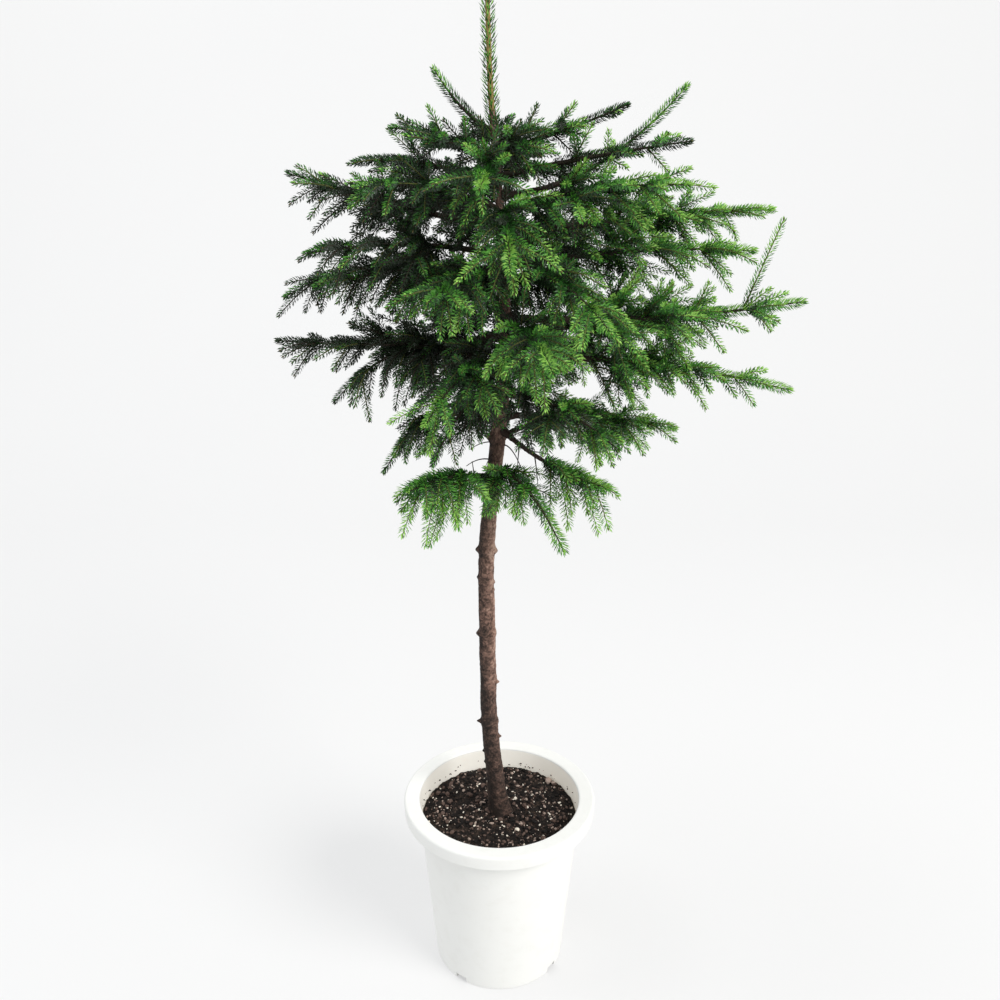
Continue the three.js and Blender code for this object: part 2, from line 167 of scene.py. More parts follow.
# Boughs from the lowest to the highest: name, height on the trunk, azimuth, level reach, rise of the tip over
# the root, arch of the middle, share that is a plain limb, nodes with side shoots, length of the longest,
# droop, and the length of a shoot that stands upright on the last node
Bough = namedtuple("Bough", "name height azimuth reach rise arch bare years spread hang crest", defaults=(0,))
BOUGHS = [
    Bough(*row)
    for row in (
        ("low_front_left", 658, 231, 136, 20, 8, 0.34, 3, 84, 2.4),
        ("low_front_right", 668, 299, 146, -46, 20, 0, 3, 50, 0.9),
        ("low_right_back", 703, 42, 150, 6, 6, 0.36, 3, 62, 0.7),
        ("low_right_front", 716, 322, 142, -40, -10, 0.42, 3, 66, 1.2),
        ("low_left", 724, 171, 134, -68, 44, 0.56, 2, 58, 1.6),
        ("low_right", 728, 6, 198, -20, 8, 0.42, 3, 70, 0.8),
        ("low_back", 736, 100, 160, -30, 12, 0, 3, 74, 0.8),
        ("low_left_front", 752, 222, 98, -60, 28, 0.34, 2, 66, 1.2),
        ("low_right_mid", 752, 318, 156, -30, 14, 0, 3, 92, 1.0),
        ("mid_left_low", 772, 187, 182, -22, 46, 0, 4, 100, 2.6),
        ("mid_back_right", 784, 58, 208, -22, 14, 0, 3, 104, 0.6),
        ("mid_front_left", 790, 244, 172, -30, 20, 0, 3, 92, 0.9),
        ("mid_right_low", 792, 350, 300, -22, 12, 0.3, 4, 74, 0.35),
        ("mid_back_left", 802, 134, 200, -30, 14, 0, 3, 100, 0.6),
        ("mid_front", 806, 281, 214, 18, 22, 0, 4, 96, 1.1),
        ("mid_right_back", 812, 22, 246, -8, 14, 0, 4, 90, 0.6),
        ("mid_left", 816, 184, 240, -1, -6, 0.28, 4, 88, 0.7),
        ("mid_right", 836, 344, 302, 30, -8, 0.3, 4, 92, 0.3, 92),
        ("mid_back", 858, 92, 192, -16, 16, 0, 3, 100, 0.5),
        ("mid_left_up", 858, 166, 252, -10, 34, 0, 4, 104, 0.9),
        ("front_left", 866, 248, 184, 12, 14, 0, 4, 96, 1),
        ("front_right", 872, 298, 200, -20, 24, 0, 4, 104, 1),
        ("mid_right_high", 888, 358, 258, 18, 8, 0, 4, 118, 0.9),
        ("mid_left_high", 886, 188, 196, -14, 8, 0, 4, 92, 1.0),
        ("high_left_front", 900, 202, 206, 10, 10, 0, 4, 98, 1),
        ("high_back_right", 906, 62, 210, -4, 18, 0, 3, 100, 0.4),
        ("high_right", 920, 12, 300, 22, 4, 0.3, 5, 76, 0.6),
        ("high_front", 926, 272, 186, -22, 28, 0, 4, 104, 1.1),
        ("high_left", 930, 174, 222, 51, -6, 0.3, 4, 94, 0.5),
        ("high_back_left", 934, 128, 204, 0, 16, 0, 3, 94, 0.7),
        ("high_right_front", 944, 332, 198, 30, 8, 0, 4, 96, 0.35),
        ("upper_left_front", 946, 218, 168, 26, 10, 0, 3, 92, 0.8),
        ("upper_right", 960, 24, 220, 108, -27, 0.3, 3, 44, 0.1),
        ("upper_left", 966, 153, 174, 24, 12, 0, 3, 74, 0.4),
        ("upper_front", 972, 264, 150, 0, 14, 0, 3, 94, 0.6),
        ("upper_back", 976, 84, 146, 22, 10, 0, 3, 80, 0.1),
        ("upper_right_front", 978, 342, 192, 34, 2, 0, 4, 62, 0.32),
        ("top_left_low", 990, 190, 104, 34, 6, 0, 3, 58, 0.15),
        ("top_front_left", 996, 236, 112, 14, 6, 0, 3, 58, 0.25),
        ("top_right", 1002, 352, 130, 43, -3, 0, 3, 54, 0.35),
        ("top_front", 1006, 292, 84, -4, 8, 0, 3, 64, 0.6),
        ("top_back", 1014, 100, 74, 8, 0, 0, 2, 54, 0.35),
        ("top_left", 1022, 182, 58, 56, -9, 0, 2, 38, 0),
        ("top_right_short", 1018, 28, 60, 4, 2, 0, 1, 38, 0.35),
    )
]

# Bare twigs under the crown, each as a bough: height, azimuth, level reach, rise, arch, and its foot's radius
DeadTwig = namedtuple("DeadTwig", "height azimuth reach rise arch thick")
DEAD_TWIGS = (
    DeadTwig(694, 344, 32, -34, 15, 0.9),
    DeadTwig(701, 12, 54, 22, -3, 0.8),
    DeadTwig(713, 196, 26, 6, 3, 0.8),
    DeadTwig(698, 188, 30, -6, 4, 0.8),
    DeadTwig(677, 184, 32, -5, 5, 0.9),
    DeadTwig(688, 238, 26, -16, 5, 0.7),
    DeadTwig(720, 150, 70, -12, 6, 0.9),
)

# Bare twigs on the plain part of a limb: the bough, share of its length, twig's length, turn, hang and angle
LIMB_TWIG_THICK = 0.8
LIMB_TWIGS = (
    ("low_right_front", 0.2, 28, 262, 1.6, 70),
    ("low_right_front", 0.34, 36, 276, 1.8, 60),
    ("low_right_front", 0.3, 20, 20, 0.4, 55),
    ("low_right", 0.2, 26, 268, 1.2, 62),
    ("low_right", 0.33, 30, 280, 1.8, 62),
    ("low_left", 0.28, 34, 270, 2.2, 60),
    ("low_left", 0.42, 44, 276, 2.4, 62),
    ("low_front_left", 0.24, 20, 80, 0.1, 56),
)

# Needled shoots of the lowest limbs, before the trunk and hanging under them: the bough, share of its length,
# shoot's length, turn, hang and angle
LIMB_SHOOTS = (
    ("low_front_right", 0.12, 54, 186, 0.5, 76),
    ("low_front_right", 0.17, 60, 200, 0.9, 62),
    ("low_front_right", 0.2, 44, 150, 0.2, 66),
    ("low_front_right", 0.2, 50, 20, 0.6, 58),
    ("low_front_right", 0.24, 48, 262, 0.8, 52),
    ("low_front_right", 0.1, 44, 258, 0.3, 86),
    ("low_front_right", 0.16, 50, 230, 0.5, 80),
    ("low_front_left", 0.12, 46, 304, 0.6, 84),
    ("low_front_left", 0.14, 58, 12, 0.7, 68),
    ("low_front_left", 0.2, 62, 350, 1.0, 60),
    ("low_front_left", 0.24, 50, 262, 1.3, 50),
    ("low_front_left", 0.28, 58, 160, 0.8, 50),
    ("low_front_left", 0.3, 60, 20, 0.9, 54),
    ("low_front_left", 0.42, 84, 258, 1.6, 54),
    ("low_front_left", 0.62, 74, 284, 1.5, 46),
    ("low_front_left", 0.8, 60, 258, 1.3, 40),
    ("low_front_right", 0.36, 46, 262, 1.0, 46),
    ("low_right_front", 0.56, 66, 266, 1.8, 52),
    ("low_right_front", 0.72, 66, 284, 1.6, 44),
    ("low_right_front", 0.86, 52, 252, 1.2, 38),
)

# Heights above which the painted light from the right fades out of the trunk's bark and it turns a little
# lighter all round, and below which it darkens, and how many tones it has
PAINTED_SIDE_LIGHT_TOP = 670
DARK_BARK_BELOW = 500
BARK_TONES = 7

# Tiers of foliage from the lowest to the highest, each one piece of needles and one of twigs
TIERS = 6

# The crown as an egg round its middle, the light on a spray there, the light at which a spray gets the next
# brighter green, and the chances that a needle keeps its green or is one or two darker. The lowest and the open
# masses count as almost outside.
CROWN_MIDDLE = 840
CROWN_HALF_WIDTH = 250
CROWN_HALF_HEIGHT = 235
LOWEST_MASSES = 690
ALMOST_OUTSIDE = 0.78
LIGHT_LEAST = 0.06
LIGHT_OUTSIDE = 0.9
LIGHT_RIGHT = 0.26
LIGHT_FRONT = 0.14
LIGHT_LOW = 0.03
LEFT_SHADE = 0.42
LONG_SHOOTS_SHADE = 0.75
LIGHT_PLAY = 0.3
TONE_STEPS = (0.14, 0.36, 0.58, 0.8)
TONE_CHANCES = (0.74, 0.17, 0.09)

# Needles: their angle to the shoot, what it loses on the upper side and at the shoot's tip, how far from its
# ends a shoot's needles change, and how far they lean up
NEEDLE_ANGLE = 60
NEEDLE_ANGLE_ABOVE = 9
NEEDLE_ANGLE_TIP = 34
TIP_CLOSING = 12
FOOT_OPENING = 10
NEEDLE_LIFT = 0.08

# Buds: corners, each ring's place before the shoot's tip and its radius, and the places of the two ends
BUD_CORNERS = 5
BUD_RINGS = ((-1.0, 0.4), (0.4, 0.75), (1.4, 0.55))
BUD_ENDS = (-1.6, 2.4)

# Needles on the leader: how many, how far below the leader's end they close, their width, and how far below
# the trunk's tip they start
LEADER_NEEDLES = 380
LEADER_CLOSING = 12
LEADER_NEEDLE_WIDTH = 1.9
LEADER_NEEDLES_BELOW = 34
LEADER_END_RADIUS = 1.9

# Rings, or rows, and corners to a ring
POT_CORNERS = 192
INSIDE_ROWS = 17
SOIL_ROWS, SOIL_CORNERS = 84, 240
TRUNK_ROWS, TRUNK_CORNERS = 900, 96
BOUGH_ROWS, BOUGH_CORNERS = 70, 18
STEM_RINGS, STEM_CORNERS = 14, 7
TWIG_RINGS, TWIG_CORNERS = 4, 4
LEADER_RINGS, LEADER_CORNERS = 60, 12

# Seeds of the random draws, apart from the growing rule's
BARK_SEED = 3
CRUMB_SEED = 5
LIMB_BARK_SEED = 9
SOIL_SEED = 11
SPRAY_SEED = 21
LEADER_SEED = 31

# Kinds of crumb: name, colour, roughness, share of all up to and with this kind, and size beside the others
Crumb = namedtuple("Crumb", "name shade rough up_to size")
CRUMBS = (
    Crumb("humus_crumbs", (21, 17, 15), 0.95, 0.6, 1.0),
    Crumb("bark_crumbs", (96, 78, 70), 0.9, 0.82, 1.3),
    Crumb("clay_crumbs", (172, 152, 140), 0.9, 0.93, 1.0),
    Crumb("pumice_crumbs", (240, 230, 214), 0.85, 1.0, 0.85),
)
STUCK_CRUMBS = 60

# How much painted glow the pot's inside gives off, standing in for light that comes through the wall
INSIDE_GLOW = 0.17

# Stage: a floor that bends up into a backdrop, its light air, and round lamps with name, place and aim in
# metres, width, watts and colour
SWEEP_HALF_WIDTH = 9000
FLOOR_NEAR = -6000
FLOOR_BEND = 1500
SWEEP_RADIUS = 1400
SWEEP_TOP = 5200
AIR_COLOUR = (0.93, 0.96, 1.0)
AIR_STRENGTH = 0.6
LAMPS = (
    ("window_light", (2.9, -2.2, 3.1), (0, 0, 0.8), 2.6, 158, (1.0, 0.98, 0.95)),
    ("bounce_light", (-2.2, -1.8, 1.2), (0, 0, 0.6), 2.2, 7, (0.93, 0.96, 1.0)),
    ("backdrop_light", (-1.4, 0.2, 3.4), (-1.3, 2.2, 0.9), 2.4, 42, (1.0, 1.0, 1.0)),
)

# Camera, at the photograph's viewing angle
CAMERA_PLACE = (0.0009, -1.0539, 1.0156)
CAMERA_PITCH = 20.056
CAMERA_LENS = 35.8


def colour(red, green, blue):
    """A colour as it shows on a screen, 0 to 255, turned into the linear numbers that shaders use."""
    shares = (red / 255, green / 255, blue / 255)
    return tuple(s / 12.92 if s < 0.04045 else ((s + 0.055) / 1.055) ** 2.4 for s in shares)


def size_setting(name, description, default):
    return FloatProperty(name=name, description=description, default=default, unit="LENGTH")


def colour_setting(name, description, *shade):
    return FloatVectorProperty(
        name=name, description=description, subtype="COLOR", size=3, default=colour(*shade)
    )


class SpruceSizes(bpy.types.PropertyGroup):
    bark_relief: size_setting("Bark relief", "Depth of the bark's furrows", 0.0007)
    needle_length: size_setting("Needle length", "Length of a needle in mid shoot", 0.0062)
    needle_width: size_setting("Needle width", "Width of a needle across its widest part", 0.0017)
    needle_step: size_setting("Needle step", "Length of shoot for each needle", 0.00054)
    leader_needle_length: size_setting("Leader needle length", "Length of a needle on the leader", 0.0105)
    soil_relief: size_setting("Soil relief", "Height of the soil's lumps", 0.0022)
    crumb_count: IntProperty(name="Crumbs", description="How many loose crumbs lie on the soil", default=2600)


class SpruceColours(bpy.types.PropertyGroup):
    pot: colour_setting("Pot", "Plastic of the pot", 240, 240, 236)
    soil: colour_setting("Soil", "Damp soil", 27, 22, 19)
    # The four bark tones are blended into seven for the trunk, whose faces take them partly as painted light,
    # lighter on the right and darker on the left, and partly by the plates' mottle and a darker foot.
    bark_dark: colour_setting("Dark bark", "Furrows and the shaded side", 44, 36, 32)
    bark_brown: colour_setting("Brown bark", "Weathered plates", 84, 66, 58)
    bark_warm: colour_setting("Warm bark", "Fresher plates", 128, 100, 88)
    bark_pale: colour_setting("Pale bark", "Edges of plates on the lit side", 172, 144, 128)
    # Twig bark: the old one goes on the stems and on shoots whose spray is dim, and the young one on shoots
    # whose spray has bright painted light, so the young, lit bark is partly age and partly painted light.
    twig_old_shaded: colour_setting("Old twigs", "Bark of the shaded twigs", 56, 48, 38)
    twig_young_lit: colour_setting("Young twigs", "Bark of the twigs in the light", 96, 100, 52)
    leader_twig: colour_setting("Leader twig", "Young bark of the leader", 150, 128, 80)
    # The five needle greens are levels of painted light and shade, from the darkest to the brightest: the crown
    # deals them out by the painted light on each spray and needle face, not by the needles' age.
    needle_old: colour_setting("Oldest needles", "Needles deep in the crown", 31, 44, 26)
    needle_deep: colour_setting("Deep green needles", "Needles in shade", 30, 60, 26)
    needle_mid: colour_setting("Green needles", "Needles of mid age", 50, 102, 38)
    needle_fresh: colour_setting("Fresh needles", "Last year's needles", 86, 152, 54)
    needle_bright: colour_setting("Bright needles", "This year's needles", 146, 196, 88)


def settings():
    scene = bpy.context.scene
    return scene.spruce_sizes, scene.spruce_colours


class Wire:
    """A socket of a node. An operator on it adds the Math node that works it out."""

    def __init__(self, finish, socket):
        self.finish = finish
        self.socket = socket

    def _math(self, operation, *values):
        return self.finish.node("ShaderNodeMath", {"operation": operation}, dict(enumerate(values)))[0]

    def __add__(self, other):
        return self._math("ADD", self, other)

    def __radd__(self, other):
        return self._math("ADD", other, self)

    def __sub__(self, other):
        return self._math("SUBTRACT", self, other)

    def __rsub__(self, other):
        return self._math("SUBTRACT", other, self)

    def __mul__(self, other):
        return self._math("MULTIPLY", self, other)

    def __rmul__(self, other):
        return self._math("MULTIPLY", other, self)


class Finish:
    """A material with its nodes. node() adds any node: its type, its settings, then its sockets' values."""

    def __init__(self, name, roughness, **constants):
        self.material = bpy.data.materials.new(name)
        self.material.use_nodes = True
        self.tree = self.material.node_tree
        self.shader = self.tree.nodes["Principled BSDF"]
        self.shader.inputs["Roughness"].default_value = roughness
        for socket, value in constants.items():
            self.shader.inputs[socket.replace("_", " ")].default_value = value

    def put(self, socket, value):
        if isinstance(value, Wire):
            self.tree.links.new(value.socket, socket)
        elif isinstance(value, (tuple, list)) and len(value) == 3 and socket.type == "RGBA":
            socket.default_value = (*value, 1)
        else:
            socket.default_value = value

    def node(self, kind, choices, values):
        made = self.tree.nodes.new(kind)
        for choice, value in choices.items():
            if choice == "stops":
                ramp = made.color_ramp
                while len(ramp.elements) < len(value):
                    ramp.elements.new(0.5)
                for element, (place, shade) in zip(ramp.elements, value):
                    element.position = place
                    element.color = (*shade, 1)
            else:
                setattr(made, choice, value)
        for socket, value in values.items():
            self.put(made.inputs[socket], value)
        return [Wire(self, output) for output in made.outputs]

    def places(self, scale=(1, 1, 1)):
        """Object coordinates in metres, stretched by a scale along each axis."""
        where = self.node("ShaderNodeTexCoord", {}, {})[3]
        return self.node("ShaderNodeMapping", {}, {"Vector": where, "Scale": scale})[0]

    def noise(self, where, scale, detail=4.0, roughness=0.55):
        values = {"Vector": where, "Scale": scale, "Detail": detail, "Roughness": roughness}
        return self.node("ShaderNodeTexNoise", {}, values)[0]

    def ramp(self, value, *stops):
        return self.node("ShaderNodeValToRGB", {"stops": stops}, {"Fac": value})[0]

    def mix(self, share, first, second):
        values = {"Factor": share, 6: first, 7: second}
        return self.node("ShaderNodeMix", {"data_type": "RGBA"}, values)[2]

    def bump(self, height, distance, strength=1.0):
        values = {"Height": height, "Distance": distance, "Strength": strength}
        return self.node("ShaderNodeBump", {}, values)[0]

    def set(self, **links):
        for socket, value in links.items():
            self.put(self.shader.inputs[socket.replace("_", " ")], value)
        return self.material


TWIG_BROWN = colour(58, 46, 40)


def darker(shade, share):
    return tuple(part * share for part in shade)


def paper_finish():
    """Matt paper with a very faint cloudiness and a glow of its own, which keeps its shadows pale."""
    finish = Finish(
        "studio_paper", 0.9, Specular_IOR_Level=0.1, Emission_Color=(1, 1, 1, 1), Emission_Strength=0.45
    )
    cloud = finish.noise(finish.places(), 0.6, 2.0)
    return finish.set(Base_Color=finish.mix(cloud, colour(172, 172, 171), colour(168, 168, 168)))


def pot_finish(name, shades, glow):
    """Satin plastic: faint cloudiness, fine orange peel, a little soil dust, and a painted glow that stands in
    for light coming through the wall.
    """
    # warm is the colour of the painted glow, which stands in for light coming through the wall.
    warm = (1, 0.84, 0.6, 1)
    finish = Finish(name, 0.36, Specular_IOR_Level=0.5, Emission_Color=warm, Emission_Strength=glow)
    where = finish.places()
    cloud = finish.noise(where, 14.0, 3.0)
    dust = finish.ramp(finish.noise(where, 55.0, 6.0, 0.62), (0.52, (0, 0, 0)), (0.8, (1, 1, 1)))
    base = finish.mix(cloud, tuple(shades.pot), darker(tuple(shades.pot), 0.955))
    dusty = finish.mix(dust * 0.10, base, colour(196, 188, 172))
    peel = finish.noise(where, 420.0, 2.0)
    return finish.set(
        Base_Color=dusty, Roughness=0.34 + cloud * 0.1 + dust * 0.06, Normal=finish.bump(peel, 0.00006, 0.5)
    )


def soil_finish(shades):
    """Damp soil: grains of dark brown and near black."""
    finish = Finish("soil", 0.95, Specular_IOR_Level=0.25)
    where = finish.places()
    lumps = finish.noise(where, 95.0, 5.0, 0.6)
    grains = finish.noise(where, 520.0, 3.0, 0.6)
    shade = tuple(shades.soil)
    base = finish.ramp(
        lumps * 0.45 + grains * 0.55,
        (0.36, darker(shade, 0.35)), (0.5, shade), (0.62, colour(70, 56, 46)),
    )
    return finish.set(Base_Color=base, Roughness=0.85 + grains * 0.12, Normal=finish.bump(grains, 0.0012))


def crumb_finish(name, shade, rough):
    """A crumb's own stone or bark, mottled by fine noise."""
    finish = Finish(name, rough, Specular_IOR_Level=0.3)
    mottle = finish.noise(finish.places(), 700.0, 3.0, 0.6)
    base = finish.mix(mottle, darker(shade, 0.62), darker(shade, 1.25))
    return finish.set(Base_Color=base, Roughness=rough - mottle * 0.1)


def bark_finish(name, shade):
    """Scaly bark of one tone: plates with dark seams between them, and fine pale flecks."""
    finish = Finish(name, 0.88, Specular_IOR_Level=0.25)
    plates = finish.noise(finish.places((1, 1, 0.6)), 240.0, 5.0, 0.62)
    flecks = finish.noise(finish.places(), 620.0, 3.0, 0.6)
    seam = finish.ramp(plates, (0.36, (1, 1, 1)), (0.52, (0, 0, 0)))
    skin = finish.mix(seam * 0.7, shade, darker(shade, 0.4))
    pale = finish.ramp(flecks, (0.56, (0, 0, 0)), (0.7, (1, 1, 1)))
    base = finish.mix(pale * 0.3, skin, tuple(min(1.0, part * 1.9) for part in shade))
    relief = plates * 0.75 + flecks * 0.25
    return finish.set(Base_Color=base, Roughness=0.94 - plates * 0.16, Normal=finish.bump(relief, 0.0011))


def twig_finish(name, shade):
    """The dull skin of young twigs and bud scales, one plain colour for each shoot."""
    return Finish(name, 0.75, Specular_IOR_Level=0.3).set(Base_Color=tuple(shade))


def needle_finishes(prefix, shades, *names):
    """Plain greens dealt out by spray, from the darkest to the brightest as levels of painted light and shade,
    with the waxy gloss of a needle.
    """
    return [
        Finish(prefix + name, 0.4, Specular_IOR_Level=0.4)
        .set(Base_Color=tuple(getattr(shades, "needle_" + name)))
        for name in names
    ]


def make_piece(name, points, faces, materials, slot, nodes=(), face_material=None, smooth=True):
    """A mesh piece from points in millimetres and arrays of faces, one array for each number of corners."""
    faces = [np.asarray(part, np.int32) for part in faces if len(part)]
    corners = np.concatenate([part.ravel() for part in faces])
    sizes = np.concatenate([np.full(len(part), part.shape[1], np.int32) for part in faces])
    starts = (np.cumsum(sizes) - sizes).astype(np.int32)
    mesh = bpy.data.meshes.new(name)
    mesh.vertices.add(len(points))
    mesh.vertices.foreach_set("co", (np.asarray(points) * MM).astype(np.float32).ravel())
    mesh.loops.add(len(corners))
    mesh.loops.foreach_set("vertex_index", corners)
    mesh.polygons.add(len(sizes))
    mesh.polygons.foreach_set("loop_start", starts)
    mesh.polygons.foreach_set("use_smooth", np.full(len(sizes), smooth))
    for material in materials:
        mesh.materials.append(material)
    if face_material is not None:
        mesh.polygons.foreach_set("material_index", np.asarray(face_material, np.int32))
    mesh.update(calc_edges=True)
    if mesh.validate():
        raise RuntimeError(name + " has broken faces")
    piece = bpy.data.objects.new(name, mesh)
    bpy.context.collection.objects.link(piece)
    if slot:
        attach(piece, "root")
        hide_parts(*nodes)
    return piece


def grid_faces(rows, columns):
    """Four-cornered faces of a grid whose last column joins its first. Rows run anticlockwise and go up."""
    row, column = np.meshgrid(np.arange(rows - 1) * columns, np.arange(columns), indexing="ij")
    after = (column + 1) % columns
    quads = [row + column, row + after, row + columns + after, row + columns + column]
    return np.stack(quads, -1).reshape(-1, 4)


def fan_faces(first, columns, centre, up):
    """Triangles from a ring of a grid to the point that closes it, facing up or down."""
    here = first + np.arange(columns)
    after = first + (np.arange(columns) + 1) % columns
    middle = np.full(columns, centre)
    return np.stack([here, after, middle] if up else [after, here, middle], -1)


def closed_faces(rows, columns):
    """Faces of a grid of rings and of the two points after it that close it, one below its first ring and one
    above its last."""
    last = rows * columns
    fans = fan_faces(0, columns, last, False), fan_faces(last - columns, columns, last + 1, True)
    return [grid_faces(rows, columns), *fans]


def closed_triangles(rows, columns):
    quads, *fans = closed_faces(rows, columns)
    return np.concatenate([quads[:, [0, 1, 2]], quads[:, [0, 2, 3]], *fans])


def alike(points, *faces):
    """Many small shapes of one make as one mesh: their points (n, m, 3) in a row, and the faces of each."""
    first = points.shape[1] * np.arange(len(points))[:, None, None]
    return points.reshape(-1, 3), [(part[None] + first).reshape(-1, part.shape[1]) for part in faces]


def equal_angles(count):
    return np.arange(count) * 2 * np.pi / count


def level_way(angle):
    """Level unit directions (cos a, sin a, 0)."""
    return np.stack([np.cos(angle), np.sin(angle), 0 * angle], -1)


def level_rings(centre, radius, columns):
    """Level rings round points: centre + radius (cos a, sin a, 0), with a in equal steps. A ring has one
    radius, or one for each of its points."""
    circle = level_way(equal_angles(columns))
    return (centre[:, None] + radius.reshape(len(centre), -1, 1) * circle).reshape(-1, 3)


def rings_across(side, above, corners):
    """Directions round a line: cos a times sideways plus sin a times upwards, with a in equal steps."""
    angle = equal_angles(corners)[None, :, None]
    return side[:, None] * np.cos(angle) + above[:, None] * np.sin(angle)


def unit(vectors):
    return vectors / np.linalg.norm(vectors, axis=-1, keepdims=True)


def lerp(start, end, share):
    return start + (end - start) * share


def value_noise(across, along, cells_across, cells_along, rng):
    """Smooth noise from -1 to 1 on a surface that closes across: random values at the corners of a lattice,
    joined by the smooth step 3t^2 - 2t^3 both ways. across runs from 0 to 1 once round, along from 0 to 1."""
    lattice = rng.uniform(-1, 1, (cells_along + 2, cells_across))
    u = (across % 1) * cells_across
    v = np.clip(along, 0, 1) * cells_along
    column, row = np.floor(u).astype(int) % cells_across, np.floor(v).astype(int)
    s, t = u - np.floor(u), v - row
    s, t = s * s * (3 - 2 * s), t * t * (3 - 2 * t)
    after = (column + 1) % cells_across
    low = lerp(lattice[row, column], lattice[row, after], s)
    high = lerp(lattice[row + 1, column], lattice[row + 1, after], s)
    return lerp(low, high, t)


def layered_noise(across, along, rng, *layers):
    """Value noise of several sizes added up: the cells across, the cells along and the weight of each."""
    return sum(weight * value_noise(across, along, *cells, rng) for *cells, weight in layers)


def chance(bough, shoot, use):
    """A number from 0 to 1: the fraction left of a sine of the seed and of what it is for."""
    wave = np.sin(SEED * 3.7 + bough * 12.9898 + shoot * 78.233 + use * 37.719) * 43758.5453
    return wave - np.floor(wave)


def stem_point(height):
    """Points of the trunk's middle line at heights: a Catmull-Rom curve through the leans at equal steps."""
    height = np.asarray(height, float)
    step = (height - SOIL_TOP) / LEAN_STEP
    first = np.clip(np.floor(step), 0, len(LEAN) - 2).astype(int)
    share = step - first
    knots = np.concatenate([[2 * LEAN[0] - LEAN[1]], LEAN, [2 * LEAN[-1] - LEAN[-2]]])
    before, start, end, after = (knots[first + i] for i in range(4))
    leaving, arriving = 0.5 * (end - before), 0.5 * (after - start)
    square = 3 * (end - start) - 2 * leaving - arriving
    cube = 2 * (start - end) + leaving + arriving
    lean = start + share * leaving + share**2 * square + share**3 * cube
    return np.stack([lean, np.zeros_like(lean), height], -1)


def trunk_radius(height):
    """Two straight tapers, the root flare that fades upwards, and a round swelling at each ring of scars."""
    below = lerp(FOOT_RADIUS, CROWN_RADIUS, (height - SOIL_TOP) / (CROWN_BASE - SOIL_TOP))
    above = lerp(CROWN_RADIUS, TIP_RADIUS, (height - CROWN_BASE) / (TRUNK_TIP - CROWN_BASE))
    flare = FLARE_RADIUS * np.exp(-(height - SOIL_TOP) / FLARE_FADE)
    swell = sum(SCAR_SWELL * np.exp(-(((height - ring) / SCAR_HALF) ** 2)) for ring in SCAR_RINGS)
    return np.where(height < CROWN_BASE, below, above) + flare + swell


def limb_foot(reach):
    """A limb's radius at the trunk, larger for one that reaches further."""
    return LIMB_FOOT + LIMB_PER_REACH * reach


def curve_at(curves, share):
    """Points (1-t)^2 root + 2t(1-t) knee + t^2 tip of quadratic curves (n, 3, 3), at shares (n, m)."""
    t = np.asarray(share)[..., None]
    root, knee, tip = (curves[:, None, i] for i in range(3))
    return (1 - t) ** 2 * root + 2 * t * (1 - t) * knee + t**2 * tip


def heading_at(curves, share):
    """Unit directions of quadratic curves: (1-t)(knee - root) + t(tip - knee)."""
    t = np.asarray(share)[..., None]
    root, knee, tip = (curves[:, None, i] for i in range(3))
    return unit((1 - t) * (knee - root) + t * (tip - knee))


def curve_lengths(curves):
    points = curve_at(curves, np.tile(np.linspace(0, 1, 201), (len(curves), 1)))
    return np.linalg.norm(np.diff(points, axis=1), axis=-1).sum(1)


def bough_lines(boughs):
    """Each bough's middle line from the trunk's heart to its tip, and the direction across it."""
    azimuth = np.radians([bough.azimuth for bough in boughs])
    out = level_way(azimuth)
    root = stem_point([bough.height for bough in boughs])
    tip = root + out * np.array([[bough.reach] for bough in boughs])
    tip[:, 2] += [bough.rise for bough in boughs]
    middle = (root + tip) / 2
    middle[:, 2] += [2 * bough.arch for bough in boughs]
    return np.stack([root, middle, tip], 1), np.stack([-np.sin(azimuth), np.cos(azimuth), 0 * azimuth], -1)


def branch(curves, sides, at, turn, length, hang, angle):
    """Shoots that leave curves at a share: they start at angle from the curve, towards the direction that
    stands turn degrees round it from its side, and their outer part is pulled down by hang."""
    along = heading_at(curves, at[:, None])[:, 0]
    above = np.cross(along, sides)
    turn, angle = np.radians(turn)[:, None], np.radians(angle)[:, None]
    outwards = sides * np.cos(turn) + above * np.sin(turn)
    start = along * np.cos(angle) + outwards * np.sin(angle)
    end = unit(start - UP * hang[:, None])
    root = curve_at(curves, at[:, None])[:, 0]
    knee = root + 0.4 * start * length[:, None]
    tip = knee + 0.6 * end * length[:, None]
    return np.stack([root, knee, tip], 1), unit(np.cross(start, outwards))


def nearest(points, others):
    """Distance from each point to the nearest of the others."""
    if not len(others):
        return np.full(len(points), np.inf)
    gaps = points[:, None] - others[None]
    return np.sqrt(np.einsum("ijk,ijk->ij", gaps, gaps).min(1))


def samples(curve, start, count):
    return curve_at(curve[None], np.linspace(start, 1, count + 1)[None])[0]


# Orders of shoot, and for each of them the radius of its ends, the step and the length of its needles beside
# the others', and how much its painted light is raised or lowered. A stem's foot is as thick as its limb.
STEM, SHOOT, FILLER, TWIG = range(4)
SHOOT_FEET = (1, 0.9, 0.8, 0.75)
SHOOT_TIPS = (0.55, 0.5, 0.45, 0.4)
NEEDLE_STEPS = (0.54, 1.0, 1.1, 1.0)
NEEDLE_LENGTHS = (1.2, 1.0, 1.0, 1.0)
SHOOT_LIGHT = (-0.05, 0.06, -0.1, 0.0)
Growth = namedtuple("Growth", "curves across owner order begins clad foot tip tone")

# What the growing shoots keep clear of: the boughs' middle lines, the trunk's, and the points made so far
# with the bough that each is on
Space = namedtuple("Space", "axes trunk made owners")


def filled(space, points, index):
    """The space with the points of a bough's new shoot in it."""
    owners = np.concatenate([space.owners, np.full(len(points), index)])
    return space._replace(made=np.concatenate([space.made, points]), owners=owners)


